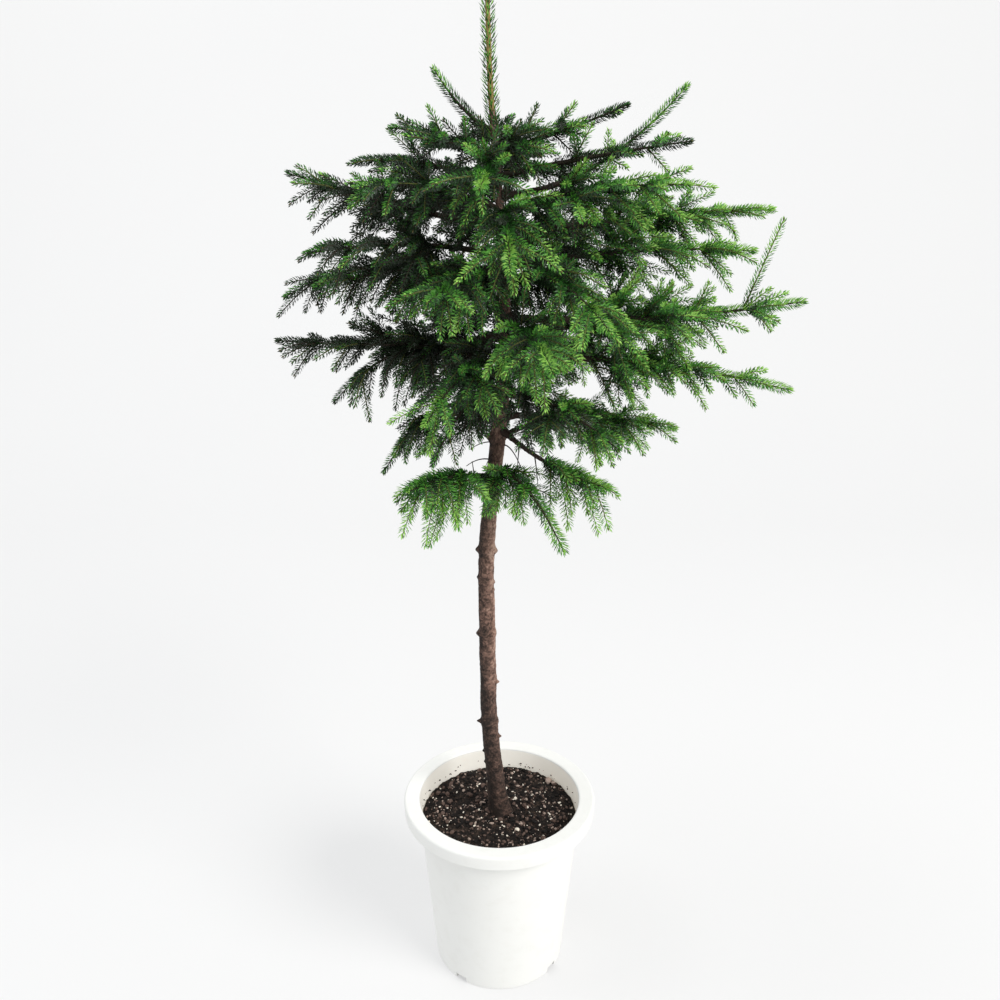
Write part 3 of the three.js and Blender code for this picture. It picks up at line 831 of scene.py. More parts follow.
def is_clear(points, index, space, clear):
    """True for each point that is nearer to its own bough than to the others, and far enough from those, from
    the trunk and from the shoots of other masses."""
    own = nearest(points, space.axes[index])
    other = nearest(points, np.delete(space.axes, index, 0).reshape(-1, 3))
    return (
        (other > np.maximum(clear.limbs, clear.own_share * own))
        & (nearest(points, space.trunk) > clear.trunk)
        & (nearest(points, space.made[space.owners != index]) > clear.shoots)
    )


def has_room(curve, index, space):
    """True if a shoot is clear of its sisters on the same bough and of all the rest."""
    apart = nearest(samples(curve, 0.5, 4), space.made[space.owners == index]) > CLEAR_SISTERS
    return apart.all() and is_clear(samples(curve, 0.25, 7), index, space, SHOOT_CLEAR).all()


def grow_shoots(lines, sides, space):
    """The stems and side shoots of every mass, by the same rule and chances as the part's source."""
    shoots = []
    lengths = curve_lengths(lines)
    for index, bough in enumerate(BOUGHS):
        start = bough.bare + GAP / lengths[index] if bough.bare else 0
        clad = max(1 - LEADING_SHOOT / lengths[index], start + 0.1)
        space = filled(space, samples(lines[index], clad, 8), index)
        shoots.append((lines[index], sides[index], index, STEM, start, 0))
        first = max(bough.bare + 0.05, INNERMOST_SHOOT)
        for number in range(3 * bough.years):
            year, way = divmod(number, 3)
            share = year / max(1, bough.years - 1)
            below = bough.hang > HANGS_FROM and year != 1
            play = [2 * chance(index, number, use) - 1 for use in range(6)]
            at = lerp(first, LAST_NODE, share) + 0.04 * play[5]
            shorter = 1 if way < 2 else 0.85 if below else 0.6
            full = bough.spread * shorter * (1 - 0.42 * share) * (1 + 0.15 * play[3])
            droop = bough.hang * (lerp(1.5, 0.7, share) if way < 2 else 0.3) * (1 + 0.25 * play[2])
            is_crest = bough.crest and number == 3 * bough.years - 1
            if is_crest:
                below, full, droop = False, bough.crest, 0
            turn = (10, 170, 270 if below else 90)[way] + 15 * play[4]
            angle = CREST_ANGLE if is_crest else FORK_ANGLE + FORK_ANGLE_PLAY * play[1]
            for part in LENGTH_TRIES:
                if part * full < SHORTEST_SHOOT:
                    continue
                asked = [np.array([value]) for value in (at, turn, part * full, droop, angle)]
                curve, across = branch(lines[index][None], sides[index][None], *asked)
                if has_room(curve[0], index, space):
                    shoots.append((curve[0], across[0], index, SHOOT, 0, share))
                    space = filled(space, samples(curve[0], 0.35, 8), index)
                    break
    return shoots, space


def keeps_space(curves, owner, space):
    """True for each curve whose outer points are clear of all that isn't on its own bough."""
    spots = curve_at(curves, np.tile([0.4, 0.7, 1.0], (len(curves), 1)))
    fits = np.zeros(len(curves), bool)
    for index in np.unique(owner):
        mine = owner == index
        fits[mine] = is_clear(spots[mine].reshape(-1, 3), index, space, FINE_CLEAR).reshape(-1, 3).all(1)
    return fits


def bough_values(owner, *keys):
    """Named values of the boughs that shoots grow on, one array for each name."""
    return [np.array([getattr(bough, key) for bough in BOUGHS])[owner] for key in keys]


def is_open(owner):
    return bough_values(owner, "height")[0] < OPEN_BELOW


def fan_sides(curves, across):
    """The direction in which a shoot's twigs spread: across it, and as level as can be."""
    along = heading_at(curves, np.full((len(curves), 1), 0.4))[:, 0]
    flat = np.cross(across, along)
    side = unit(np.where((np.abs(across[:, 2]) < np.abs(flat[:, 2]))[:, None], across, flat))
    return side * np.where(np.cross(along, side)[:, 2:] < 0, -1, 1)


def longer_than(least, length, curves, across, owner, order, *more):
    """Only the shoots that are long enough, with their order."""
    enough = length > least
    return [part[enough] for part in (curves, across, owner, np.full(len(enough), order), *more)]


def whorl_shoots(lines, sides, rng):
    """More shoots round every node of every stem, at the turns that the node's first shoots leave free."""
    rows = []
    for index, bough in enumerate(BOUGHS):
        for year in range(bough.years):
            share = year / max(1, bough.years - 1)
            outer_turns = OUTER_TURNS if bough.height < YOUNG_FROM else ()
            rows += [(index, share, turn) for turn in (INNER_TURNS if share < OUTER_FROM else outer_turns)]
    owner, share, turn = (np.array(column) for column in zip(*rows))
    count = len(rows)
    turn = turn + rng.uniform(-14, 14, count)
    bare, spread, hang = bough_values(owner, "bare", "spread", "hang")
    at = lerp(np.maximum(bare + 0.05, INNERMOST_SHOOT), LAST_NODE, share) + rng.uniform(-0.05, 0.04, count)
    length = WHORL_SPREAD * spread * (1 - 0.42 * share) * rng.uniform(0.72, 1.12, count)
    droop = hang * lerp(1.1, 0.6, share) * rng.uniform(0.6, 1.2, count)
    angle = FORK_ANGLE + rng.uniform(-12, 8, count)
    curves, across = branch(lines[owner], sides[owner], at, turn, length, droop, angle)
    return longer_than(WHORL_SHORTEST, length, curves, across, owner, SHOOT, share)


def twigs_on(curves, across, owner, share, rng):
    """Twigs to either side of each shoot of the older nodes and below it, shorter towards the shoot's tip."""
    old = np.flatnonzero(share < OUTER_FROM)
    parent = np.repeat(old, len(TWIG_PLACES))
    curves, across, owner, count = curves[parent], across[parent], owner[parent], len(parent)
    at, turn = np.tile(np.array(TWIG_PLACES), (len(old), 1)).T
    at = at + rng.uniform(-0.05, 0.05, count)
    length = np.minimum(TWIG_SPREAD * curve_lengths(curves) * (1 - at) + 6, TWIG_LONGEST)
    length = length * rng.uniform(0.75, 1.1, count)
    hang = bough_values(owner, "hang")[0] * 0.45 * rng.uniform(0.5, 1.3, count)
    angle = TWIG_ANGLE + rng.uniform(-8, 8, count)
    turn = turn + rng.uniform(-22, 22, count)
    twigs, twig_across = branch(curves, fan_sides(curves, across), at, turn, length, hang, angle)
    least = np.where(is_open(owner), OPEN_TWIG, TWIG_SHORTEST)
    return longer_than(least, length, twigs, twig_across, owner, TWIG)


def fillers_on(lines, sides, rng):
    """Short shoots that stand round each stem at the golden angle, between its nodes."""
    rows = [
        (index, at, number)
        for index, (bough, length) in enumerate(zip(BOUGHS, curve_lengths(lines)))
        for number, at in enumerate(np.arange(max(bough.bare, 0.12) + 0.03, FILLER_END, FILLER_STEP / length))
    ]
    owner, at, number = (np.array(column) for column in zip(*rows))
    spread, hang = bough_values(owner, "spread", "hang")
    length = spread * FILLER_SPREAD * (1 - 0.5 * at) * rng.uniform(0.8, 1.25, len(rows))
    turn = np.degrees(GOLDEN_ANGLE) * number + 40 * owner
    angle = 52 + rng.uniform(-8, 8, len(rows))
    curves, across = branch(lines[owner], sides[owner], at, turn, length, hang * 0.5, angle)
    least = np.where(is_open(owner), np.inf, FILLER_SHORTEST)
    return longer_than(least, length, curves, across, owner, FILLER)


def listed_shoots(rows, lines, sides):
    """Shoots placed one by one in a table, the directions across them, and the bough that each is on."""
    names = [bough.name for bough in BOUGHS]
    owner = np.array([names.index(row[0]) for row in rows])
    at, length, turn, hang, angle = np.array([row[1:] for row in rows]).T
    return (*branch(lines[owner], sides[owner], at, turn, length, hang, angle), owner)


def grow_fine(shoots, lines, sides, space):
    """All the finer growth that keeps to its own mass's space."""
    rng = np.random.default_rng(SEED)

    def kept(grown):
        fits = keeps_space(grown[0], grown[2], space)
        return [part[fits] for part in grown]

    first = [row for row in shoots if row[3] == SHOOT]
    whorls = kept(whorl_shoots(lines, sides, rng))
    curves = np.concatenate([[row[0] for row in first], whorls[0]])
    across = np.concatenate([[row[1] for row in first], whorls[1]])
    owner = np.concatenate([[row[2] for row in first], whorls[2]]).astype(int)
    share = np.concatenate([[row[5] for row in first], whorls[4]])
    groups = [
        whorls[:4],
        kept(twigs_on(curves, across, owner, share, rng)),
        kept(fillers_on(lines, sides, rng)),
        (*listed_shoots(LIMB_SHOOTS, lines, sides), np.full(len(LIMB_SHOOTS), SHOOT)),
    ]
    return [np.concatenate([group[part] for group in groups]) for part in range(4)]


def grow_crown():
    """Every stem, shoot and twig of the crown, where it and its needles start, and how thick its ends are."""
    lines, sides = bough_lines(BOUGHS)
    axes = curve_at(lines, np.tile(np.linspace(0.06, 1, 25), (len(lines), 1)))
    trunk = stem_point(np.linspace(640, LEADER_TOP, 90))
    shoots, space = grow_shoots(lines, sides, Space(axes, trunk, np.zeros((0, 3)), np.zeros(0, int)))
    fine = grow_fine(shoots, lines, sides, space)
    curves, across, owner, order = (
        np.concatenate([[shoot[part] for shoot in shoots], fine[part]]) for part in range(4)
    )
    owner, order = owner.astype(int), order.astype(int)
    begins = np.concatenate([[shoot[4] for shoot in shoots], np.zeros(len(fine[0]))])
    is_stem = order == STEM
    thick = limb_foot(bough_values(owner, "reach")[0])
    foot = np.where(is_stem, thick * lerp(1, LIMB_TIP_SHARE, begins), np.choose(order, SHOOT_FEET))
    tip = np.choose(order, SHOOT_TIPS)
    clad = np.where(is_stem, np.maximum(begins, 0.3), 0.06)
    return Growth(curves, across, owner, order, begins, clad, foot, tip, 0 * order)


def picked_from(growth, picked):
    """The same growth with only the picked shoots."""
    return Growth(*(part[picked] for part in growth))


def tone_of_sprays(growth, rng):
    """Which of the five greens each spray has, by painted light and shade: brighter towards the outside, the
    right and the front, a little darker with height, darker on the left, and darkest on the two long shoots at
    the top right."""
    x, y, level = growth.curves[:, 2].T
    wide, up = CROWN_HALF_WIDTH, (level - CROWN_MIDDLE) / CROWN_HALF_HEIGHT
    outside = np.clip(np.hypot(x, y) / (wide * np.sqrt(np.clip(1 - up**2, 0.12, 1))), 0, 1.15)
    in_the_open = (level < LOWEST_MASSES) | is_open(growth.owner)
    outside = np.where(in_the_open, np.maximum(outside, ALMOST_OUTSIDE), outside)
    light = LIGHT_LEAST + LIGHT_OUTSIDE * outside + LIGHT_RIGHT * x / wide - LIGHT_FRONT * y / wide
    light -= LIGHT_LOW * up + LEFT_SHADE * np.clip(-x / 150 - 0.4, 0, 1)
    light -= LONG_SHOOTS_SHADE * ((growth.order == STEM) & (level > 1000) & (x > 60))
    light += rng.uniform(-LIGHT_PLAY, LIGHT_PLAY, len(x)) + np.choose(growth.order, SHOOT_LIGHT)
    return np.digitize(light, TONE_STEPS)


def frames_at(curves, across, share):
    """Point, heading, sideways and upwards directions of each curve at one share of its own."""
    point = curve_at(curves, share[:, None])[:, 0]
    along = heading_at(curves, share[:, None])[:, 0]
    side = unit(across - along * (across * along).sum(-1, keepdims=True))
    return point, along, side, np.cross(along, side)


def needle_points(point, along, out, length, width, angle, lift):
    """Four points a needle: its root, its tip, and two corners beside a place past its middle, raised off
    the line from root to tip. Its angle runs from the twig's own heading to the outward direction."""
    angle = angle[:, None]
    heading = unit(along * np.cos(angle) + out * np.sin(angle) + UP * lift)
    top = unit(out - heading * (out * heading).sum(-1, keepdims=True))
    side = np.cross(top, heading)
    length, half = length[:, None], width[:, None] / 2
    middle = point + heading * length * 0.55 + top * half * 0.8
    return np.stack([point, point + heading * length, middle - side * half, middle + side * half], 1)


# The faces of a needle, and how much darker than its spray each is as painted shade: the root's upper face,
# the upper face that runs on to the tip, and the two below
NEEDLE_FACES = np.array([[0, 2, 3], [1, 3, 2], [0, 1, 2], [0, 3, 1]])
NEEDLE_SHADE = np.array([1, 0, 1, 1])


def needles_on(shoots, sizes, rng):
    """Needles round the shoots at the golden angle: longest on the stems, shorter at both ends of a shoot, and
    closing round its tip. Returns their points, which shoot each is on, how far along that shoot, and whether
    it is on the shoot's underside."""
    lengths = curve_lengths(shoots.curves) * (1 - shoots.clad)
    step = sizes.needle_step / MM * np.choose(shoots.order, NEEDLE_STEPS)
    count = np.maximum(8, np.round(lengths / step)).astype(int)
    owner = np.repeat(np.arange(len(count)), count)
    number = np.arange(len(owner)) - np.repeat(np.cumsum(count) - count, count)
    total = len(owner)
    along_span = (number + rng.uniform(0.1, 0.9, total)) / count[owner]
    share = lerp(shoots.clad[owner], 0.995, along_span)
    spin = number * GOLDEN_ANGLE + rng.uniform(0, 6.28, len(count))[owner] + rng.uniform(-0.3, 0.3, total)
    point, along, side, above = frames_at(shoots.curves[owner], shoots.across[owner], share)
    out = side * np.cos(spin)[:, None] + above * np.sin(spin)[:, None]
    radius = lerp(shoots.foot[owner], shoots.tip[owner], share)
    near_tip = np.clip(1 - (1 - along_span) * lengths[owner] / TIP_CLOSING, 0, 1)
    near_foot = np.clip(1 - along_span * lengths[owner] / FOOT_OPENING, 0, 1)
    length = np.choose(shoots.order, NEEDLE_LENGTHS)[owner] * sizes.needle_length / MM
    length = length * (1 - 0.28 * near_tip**2) * (1 - 0.35 * near_foot) * (1 + 0.03 * shoots.tone[owner])
    length *= rng.uniform(0.88, 1.1, total) * np.where(is_open(shoots.owner), OPEN_NEEDLES, 1)[owner]
    angle = NEEDLE_ANGLE - NEEDLE_ANGLE_ABOVE * np.clip(out[:, 2], 0, 1) - NEEDLE_ANGLE_TIP * near_tip
    angle = np.radians(angle + rng.uniform(-4, 4, total))
    width = np.full(total, sizes.needle_width / MM) * rng.uniform(0.85, 1.15, total)
    root = point + out * radius[:, None] * 0.8
    points = needle_points(root, along, out, length, width, angle, NEEDLE_LIFT)
    return points, owner, along_span, out[:, 2] < -0.25


def tube_rings(curves, across, begins, ends, foot, tip, rings, corners):
    """Tapering tubes on curves: rings of corners about the middle line, a root point and a tip point. Returns
    the points as (n, rings * corners + 2, 3) and the triangles of one tube."""
    count, span = len(curves), np.linspace(0, 1, rings)
    owner = np.repeat(np.arange(count), rings)
    share = lerp(begins[:, None], ends[:, None], span).ravel()
    point, _, side, above = frames_at(curves[owner], across[owner], share)
    radius = lerp(foot[owner], tip[owner], np.tile(span, count))
    body = point[:, None] + rings_across(side, above, corners) * radius[:, None, None]
    point = point.reshape(count, rings, 3)
    end = point[:, -1] + unit(point[:, -1] - point[:, -2]) * tip[:, None] * 1.5
    points = np.concatenate([body.reshape(count, -1, 3), point[:, :1], end[:, None]], 1)
    return points, closed_triangles(rings, corners)


def buds_on(shoots):
    """A small pointed bud on the end of each shoot: rings that swell and close."""
    _, along, side, above = frames_at(shoots.curves, shoots.across, np.ones(len(shoots.owner)))
    around = rings_across(side, above, BUD_CORNERS)
    tip, along = shoots.curves[:, 2:], along[:, None]
    rings = [tip + along * forward + around * radius for forward, radius in BUD_RINGS]
    ends = [tip + along * forward for forward in BUD_ENDS]
    return np.concatenate([*rings, *ends], 1), closed_triangles(len(BUD_RINGS), BUD_CORNERS)


def hang_up(name, lamp_or_camera, place, turn):
    holder = bpy.data.objects.new(name, lamp_or_camera)
    holder.location, holder.rotation_euler = place, turn
    bpy.context.collection.objects.link(holder)
    return holder


class SPRUCE_OT_stage(bpy.types.Operator):
    """A pale floor that sweeps up into a backdrop, soft studio light from the right, and the camera"""

    bl_idname = "spruce.stage"
    bl_label = "Stage, light and camera"

    def execute(self, context):
        arc = np.linspace(0, np.pi / 2, 25)
        wall = FLOOR_BEND + SWEEP_RADIUS
        away = np.concatenate([[FLOOR_NEAR], FLOOR_BEND + SWEEP_RADIUS * np.sin(arc), [wall]])
        height = np.concatenate([[0], SWEEP_RADIUS * (1 - np.cos(arc)), [SWEEP_TOP]])
        count = len(away)
        across = np.repeat([-SWEEP_HALF_WIDTH, SWEEP_HALF_WIDTH], count)
        points = np.stack([across, np.tile(away, 2), np.tile(height, 2)], -1)
        step = np.arange(count - 1)
        faces = np.stack([step, step + count, step + count + 1, step + 1], -1)
        make_piece("studio_sweep", points, [faces], [paper_finish()], None)

        world = bpy.data.worlds.new("studio_air")
        context.scene.world = world
        world.use_nodes = True
        air = world.node_tree.nodes["Background"]
        air.inputs["Color"].default_value = (*AIR_COLOUR, 1)
        air.inputs["Strength"].default_value = AIR_STRENGTH

        for name, place, aim, size, watts, shade in LAMPS:
            light = bpy.data.lights.new(name, "AREA")
            light.shape, light.size, light.energy, light.color = "DISK", size, watts, shade
            turn = (Vector(aim) - Vector(place)).to_track_quat("-Z", "Y").to_euler()
            hang_up(name, light, place, turn)

        camera = bpy.data.cameras.new("camera")
        camera.sensor_width, camera.lens = 36, CAMERA_LENS
        turn = (math.radians(90 - CAMERA_PITCH), 0, 0)
        context.scene.camera = hang_up("camera", camera, CAMERA_PLACE, turn)
        context.scene.view_settings.view_transform = "Standard"
        return {"FINISHED"}


def wall_radius(height):
    """Outer radius of the pot's wall, in a straight taper from the foot to the underside of the lip."""
    return lerp(BASE_RADIUS, BODY_RADIUS, height / (POT_HEIGHT - LIP_WALL))


def rounded(centre, radius, start, end, steps=6):
    """Points of a rounded edge: radius and height round a centre, between two angles in degrees."""
    turn = np.radians(np.linspace(start, end, steps))
    return [(centre[0] + radius * math.cos(a), centre[1] + radius * math.sin(a)) for a in turn]


def pot_outline():
    """The pot's section as radius and height: from the underside up the wall, round under the lip and over
    the brim, and down the inside to the floor."""
    under, foot, skin = POT_HEIGHT - LIP_WALL, POT_HEIGHT - LIP_DROP, RIM_RADIUS - LIP_WALL
    inside = np.linspace(POT_HEIGHT - 6, POT_FLOOR + 3, INSIDE_ROWS - 1)
    return [
        (BASE_RADIUS - 4, 0),
        *rounded((BASE_RADIUS - 2.2, FOOT_ROUND), FOOT_ROUND, -90, -4),
        *[(wall_radius(z), z) for z in np.linspace(8, under - 1.5, 24)],
        (wall_radius(under) + 1.5, under),
        (skin - 1, under),
        (skin, under - 1),
        (skin, foot + 0.6),
        *rounded((RIM_RADIUS - 1.7, foot + 1), 1.0, 210, 340, 5),
        *[(lerp(RIM_RADIUS - 0.6, RIM_RADIUS, t), lerp(foot + 3, POT_HEIGHT - 3.5, t)) for t in (0, 0.5, 1)],
        *rounded((RIM_RADIUS - BRIM_ROUND, POT_HEIGHT - BRIM_ROUND), BRIM_ROUND, 8, 90, 7),
        *[(r, POT_HEIGHT) for r in np.linspace(RIM_RADIUS - 4, MOUTH_RADIUS + 4, 7)],
        *rounded((MOUTH_RADIUS + MOUTH_ROUND, POT_HEIGHT - MOUTH_ROUND), MOUTH_ROUND, 90, 176, 7),
        *[(wall_radius(z) - POT_WALL, z) for z in inside],
        (wall_radius(POT_FLOOR) - POT_WALL - 3, POT_FLOOR),
    ]


def notch_boxes():
    """Points and faces of a box at each drain notch, square to the wall's foot."""
    turn = np.radians(DRAIN_NOTCH_AZIMUTH + 360 / DRAIN_NOTCHES * np.arange(DRAIN_NOTCHES))[:, None, None]
    half = np.array([(x, y, z) for z in (-1, 1) for y in (-1, 1) for x in (-1, 1)]) * 0.5 * DRAIN_NOTCH_SIZE
    out, side = BASE_RADIUS + half[:, :1], half[:, 1:2]
    level = half[:, 2:] + 0 * turn
    points = np.concatenate([
        np.cos(turn) * out - np.sin(turn) * side, np.sin(turn) * out + np.cos(turn) * side, level
    ], -1)
    box = np.array([[0, 2, 3, 1], [4, 5, 7, 6], [0, 1, 5, 4], [2, 6, 7, 3], [0, 4, 6, 2], [1, 3, 7, 5]])
    return alike(points, box)


def apply_modifiers(piece):
    """Replaces the piece's mesh by the one that its modifiers give."""
    graph = bpy.context.evaluated_depsgraph_get()
    made = bpy.data.meshes.new_from_object(piece.evaluated_get(graph))
    piece.modifiers.clear()
    old = piece.data
    made.name = old.name + "_cut"
    piece.data = made
    bpy.data.meshes.remove(old)


def sharpen(piece, degrees):
    """Smooth faces, with an edge kept sharp where its faces meet at more than an angle."""
    piece.data.polygons.foreach_set("use_smooth", np.full(len(piece.data.polygons), True))
    piece.data.set_sharp_from_angle(angle=math.radians(degrees))


class SPRUCE_OT_pot(bpy.types.Operator):
    """The pot: one outline of wall, brim and lip turned about the middle, with drain notches at the foot"""

    bl_idname = "spruce.pot"
    bl_label = "Pot"

    def execute(self, context):
        shades = settings()[1]
        radius, height = np.array(pot_outline()).T
        points = level_rings(height[:, None] * UP, radius, POT_CORNERS)
        points = np.concatenate([points, [[0, 0, 0], [0, 0, POT_FLOOR]]])
        band = np.arange(len(radius) - 1) >= len(radius) - 1 - INSIDE_ROWS
        kinds = np.repeat(np.concatenate([band, [False, True]]), POT_CORNERS)
        # The inside's plastic carries the painted glow that stands in for light coming through the wall.
        plastic = [pot_finish("pot_outside", shades, 0.0), pot_finish("pot_inside", shades, INSIDE_GLOW)]
        faces = closed_faces(len(radius), POT_CORNERS)
        pot = make_piece("pot_shell", points, faces, plastic, "pot", ["pot"], kinds)

        cutter = make_piece("notch_cutter", *notch_boxes(), [], None)
        cut = pot.modifiers.new("notches", "BOOLEAN")
        cut.operation, cut.object, cut.solver = "DIFFERENCE", cutter, "EXACT"
        apply_modifiers(pot)
        bpy.data.objects.remove(cutter, do_unlink=True)
        sharpen(pot, 32)
        return {"FINISHED"}


def soil_height(radius, angle, relief):
    """Height of the soil: level in the middle, falling to the wall, with lumps and grains of two sizes each,
    worked out as value noise over the square that holds the soil, and smooth against the trunk."""
    fall = SOIL_FALL * np.clip((radius - SOIL_LEVEL_RADIUS) / (SOIL_EDGE - SOIL_LEVEL_RADIUS), 0, 1)
    across = radius * np.cos(angle) / (2 * SOIL_EDGE) * 0.98 + 0.5
    along = radius * np.sin(angle) / (2 * SOIL_EDGE) * 0.98 + 0.5
    rng = np.random.default_rng(SOIL_SEED)
    lumps = layered_noise(across, along, rng, (14, 14, 0.5), (34, 34, 0.5))
    grains = layered_noise(across, along, rng, (70, 70, 0.42), (120, 120, 0.3))
    return SOIL_TOP - fall + (lumps + grains) * relief * np.clip((radius - 8) / 12, 0.3, 1)


def inner_wall(height):
    return wall_radius(height) - POT_WALL - 0.8


def place_crumbs(count, relief, rng):
    """Middle, size and kind of each crumb: strewn evenly over the soil and resting on it, and a few stuck to
    the wall above it. Sizes follow a gamma law, and one in fifty is larger."""
    radius = 95 * np.sqrt(rng.uniform(0.02, 1, count))
    around = rng.uniform(0, 2 * np.pi, count)
    kind = np.searchsorted([row.up_to for row in CRUMBS], rng.uniform(0, 1, count))
    size = np.choose(kind, [row.size for row in CRUMBS]) * rng.gamma(3.2, 0.3, count) + 0.35
    size = np.minimum(size, 3.4) * np.where(rng.uniform(0, 1, count) < 0.02, 1.6, 1)
    height = soil_height(radius, around, relief) + size * 0.35
    radius = np.minimum(radius, 96 - size)
    turn = rng.uniform(0, 2 * np.pi, STUCK_CRUMBS)
    clinging = SOIL_TOP + 1 + rng.gamma(1.2, 3.2, STUCK_CRUMBS).clip(0, 16)
    around, radius = np.concatenate([around, turn]), np.concatenate([radius, inner_wall(clinging) + 0.4])
    height = np.concatenate([height, clinging])
    centre = np.stack([radius * np.cos(around), radius * np.sin(around), height], -1)
    size = np.concatenate([size, rng.uniform(0.4, 1.4, STUCK_CRUMBS)])
    return centre, size, np.concatenate([kind, np.zeros(STUCK_CRUMBS, int)])


def turned_by(first, second, angle):
    """Two coordinates of points after a turn in their plane."""
    return first * np.cos(angle) - second * np.sin(angle), first * np.sin(angle) + second * np.cos(angle)


def crumb_points(centre, size, ball, rng):
    """Each crumb's points: the ball with corners knocked about, drawn out, flattened, tilted and turned."""
    total = len(centre)
    low_high = (0.7, 1.5), (0.6, 1.1), (0.45, 0.9)
    stretch = np.stack([rng.uniform(low, high, total) for low, high in low_high], -1)
    knocked = ball[None] * rng.uniform(0.78, 1.18, (total, len(ball), 1)) * stretch[:, None]
    yaw, pitch = rng.uniform(0, 2 * np.pi, total)[:, None], rng.uniform(-0.5, 0.5, total)[:, None]
    x, y, z = knocked[..., 0], knocked[..., 1], knocked[..., 2]
    x, z = turned_by(x, z, pitch)
    x, y = turned_by(x, y, yaw)
    return centre[:, None] + np.stack([x, y, z], -1) * size[:, None, None]


def twenty_sided_ball():
    """Points of a unit ball of twenty triangles: two rings of five, half a step apart, and two poles."""
    turn = equal_angles(5)
    high, flat = 1 / math.sqrt(5), 2 / math.sqrt(5)
    rings = [
        np.stack([flat * np.cos(angle), flat * np.sin(angle), np.full(5, level)], -1)
        for angle, level in ((turn, -high), (turn + np.pi / 5, high))
    ]
    here, after = np.arange(5), (np.arange(5) + 1) % 5
    faces = np.concatenate([
        np.stack([here, after, here + 5], -1),
        np.stack([after, after + 5, here + 5], -1),
        *closed_faces(2, 5)[1:],
    ])
    return np.concatenate([*rings, [[0, 0, -1], [0, 0, 1]]]), faces


class SPRUCE_OT_soil(bpy.types.Operator):
    """The soil's lumpy top and its sides, with loose crumbs of bark, pumice and humus"""

    bl_idname = "spruce.soil"
    bl_label = "Soil"

    def execute(self, context):
        sizes, shades = settings()
        relief = sizes.soil_relief / MM
        height = np.linspace(POT_FLOOR + GAP, SOIL_TOP - SOIL_FALL - 5, 12)
        sides = level_rings(height[:, None] * UP, inner_wall(height), SOIL_CORNERS)
        radius = np.linspace(inner_wall(SOIL_TOP - SOIL_FALL), 2, SOIL_ROWS)
        top = level_rings(np.zeros((SOIL_ROWS, 3)), radius, SOIL_CORNERS)
        angle = np.tile(equal_angles(SOIL_CORNERS), SOIL_ROWS)
        top[:, 2] = soil_height(np.repeat(radius, SOIL_CORNERS), angle, relief)
        points = np.concatenate([sides, top, [[0, 0, POT_FLOOR + GAP], [0, 0, SOIL_TOP]]])
        faces = closed_faces(len(height) + SOIL_ROWS, SOIL_CORNERS)
        make_piece("soil_surface", points, faces, [soil_finish(shades)], "soil", ["soil"])

        rng = np.random.default_rng(CRUMB_SEED)
        centre, size, kind = place_crumbs(sizes.crumb_count, relief, rng)
        ball, ball_faces = twenty_sided_ball()
        points, faces = alike(crumb_points(centre, size, ball, rng), ball_faces)
        finishes = [crumb_finish(row.name, colour(*row.shade), row.rough) for row in CRUMBS]
        kinds = np.repeat(kind, len(ball_faces))
        make_piece("soil_crumbs", points, faces, finishes, "soil", ["soil"], kinds, smooth=False)
        return {"FINISHED"}


def trunk_surface(relief):
    """Points of the trunk and the tone of each face. The radius is the trunk's own, with plates and furrows
    of value noise, slow ripples, flutes that fade up from the foot, and a round knob where a twig was cut.
    The tone holds painted light, lighter towards the right and darker towards the left, which fades out round
    the crown's base, above which the bark is a little lighter all round. The tone is also darker towards the
    foot, and mottled by the plates."""
    height = np.linspace(SOIL_TOP + GAP, TRUNK_TIP, TRUNK_ROWS)
    angle = equal_angles(TRUNK_CORNERS)
    across, along = np.meshgrid(angle / (2 * np.pi), np.linspace(0, 1, TRUNK_ROWS))
    rng = np.random.default_rng(BARK_SEED)
    plates = layered_noise(across, along, rng, (13, 150, 1), (26, 320, 0.6))
    furrows = 1 - 2 * np.abs(value_noise(across, along, 9, 70, rng))
    ripples = value_noise(across, along, 5, 26, rng)
    radius = trunk_radius(height)[:, None]
    slim = np.clip(radius / 9, 0.35, 1)
    rough = 0.45 * plates - 0.4 * np.clip(furrows, 0, 1) ** 3
    radius = radius + relief * slim * rough + RIPPLE_DEPTH * slim * ripples
    flutes = np.exp(-(height[:, None] - SOIL_TOP) / FLUTE_FADE) * np.cos(FLUTES * angle[None] + 0.8)
    radius = radius + FLUTE_DEPTH * flutes
    for level, azimuth, proud, spread in KNOBS:
        apart = (np.degrees(angle) - azimuth + 180) % 360 - 180
        sideways = np.radians(apart)[None] * trunk_radius(np.array(level))
        radius = radius + proud * np.exp(-(sideways**2 + (height[:, None] - level) ** 2) / spread**2)
    centre = stem_point(height)
    points = np.concatenate([level_rings(centre, radius, TRUNK_CORNERS), centre[:1], centre[-1:]])

    high = np.clip((height - PAINTED_SIDE_LIGHT_TOP) / 50, 0, 1)[:, None]
    low = np.clip((DARK_BARK_BELOW - height) / 240, 0, 1)[:, None] ** 1.5
    mottle = 0.16 * plates + 0.2 * value_noise(across, along, 40, 560, rng) + 0.12 * ripples
    # Painted light and shade: the cosine term makes the bark lighter on the right and darker on the left, and
    # fades out round the crown's base.
    tone = 0.44 + 0.32 * np.cos(angle) * (1 - high) * (1 - 0.6 * low) + 0.14 * high - 0.32 * low + mottle
    tone = np.clip((tone * BARK_TONES).astype(int), 0, BARK_TONES - 1)
    return points, np.concatenate([tone[:-1].ravel(), np.zeros(2 * TRUNK_CORNERS, int)])


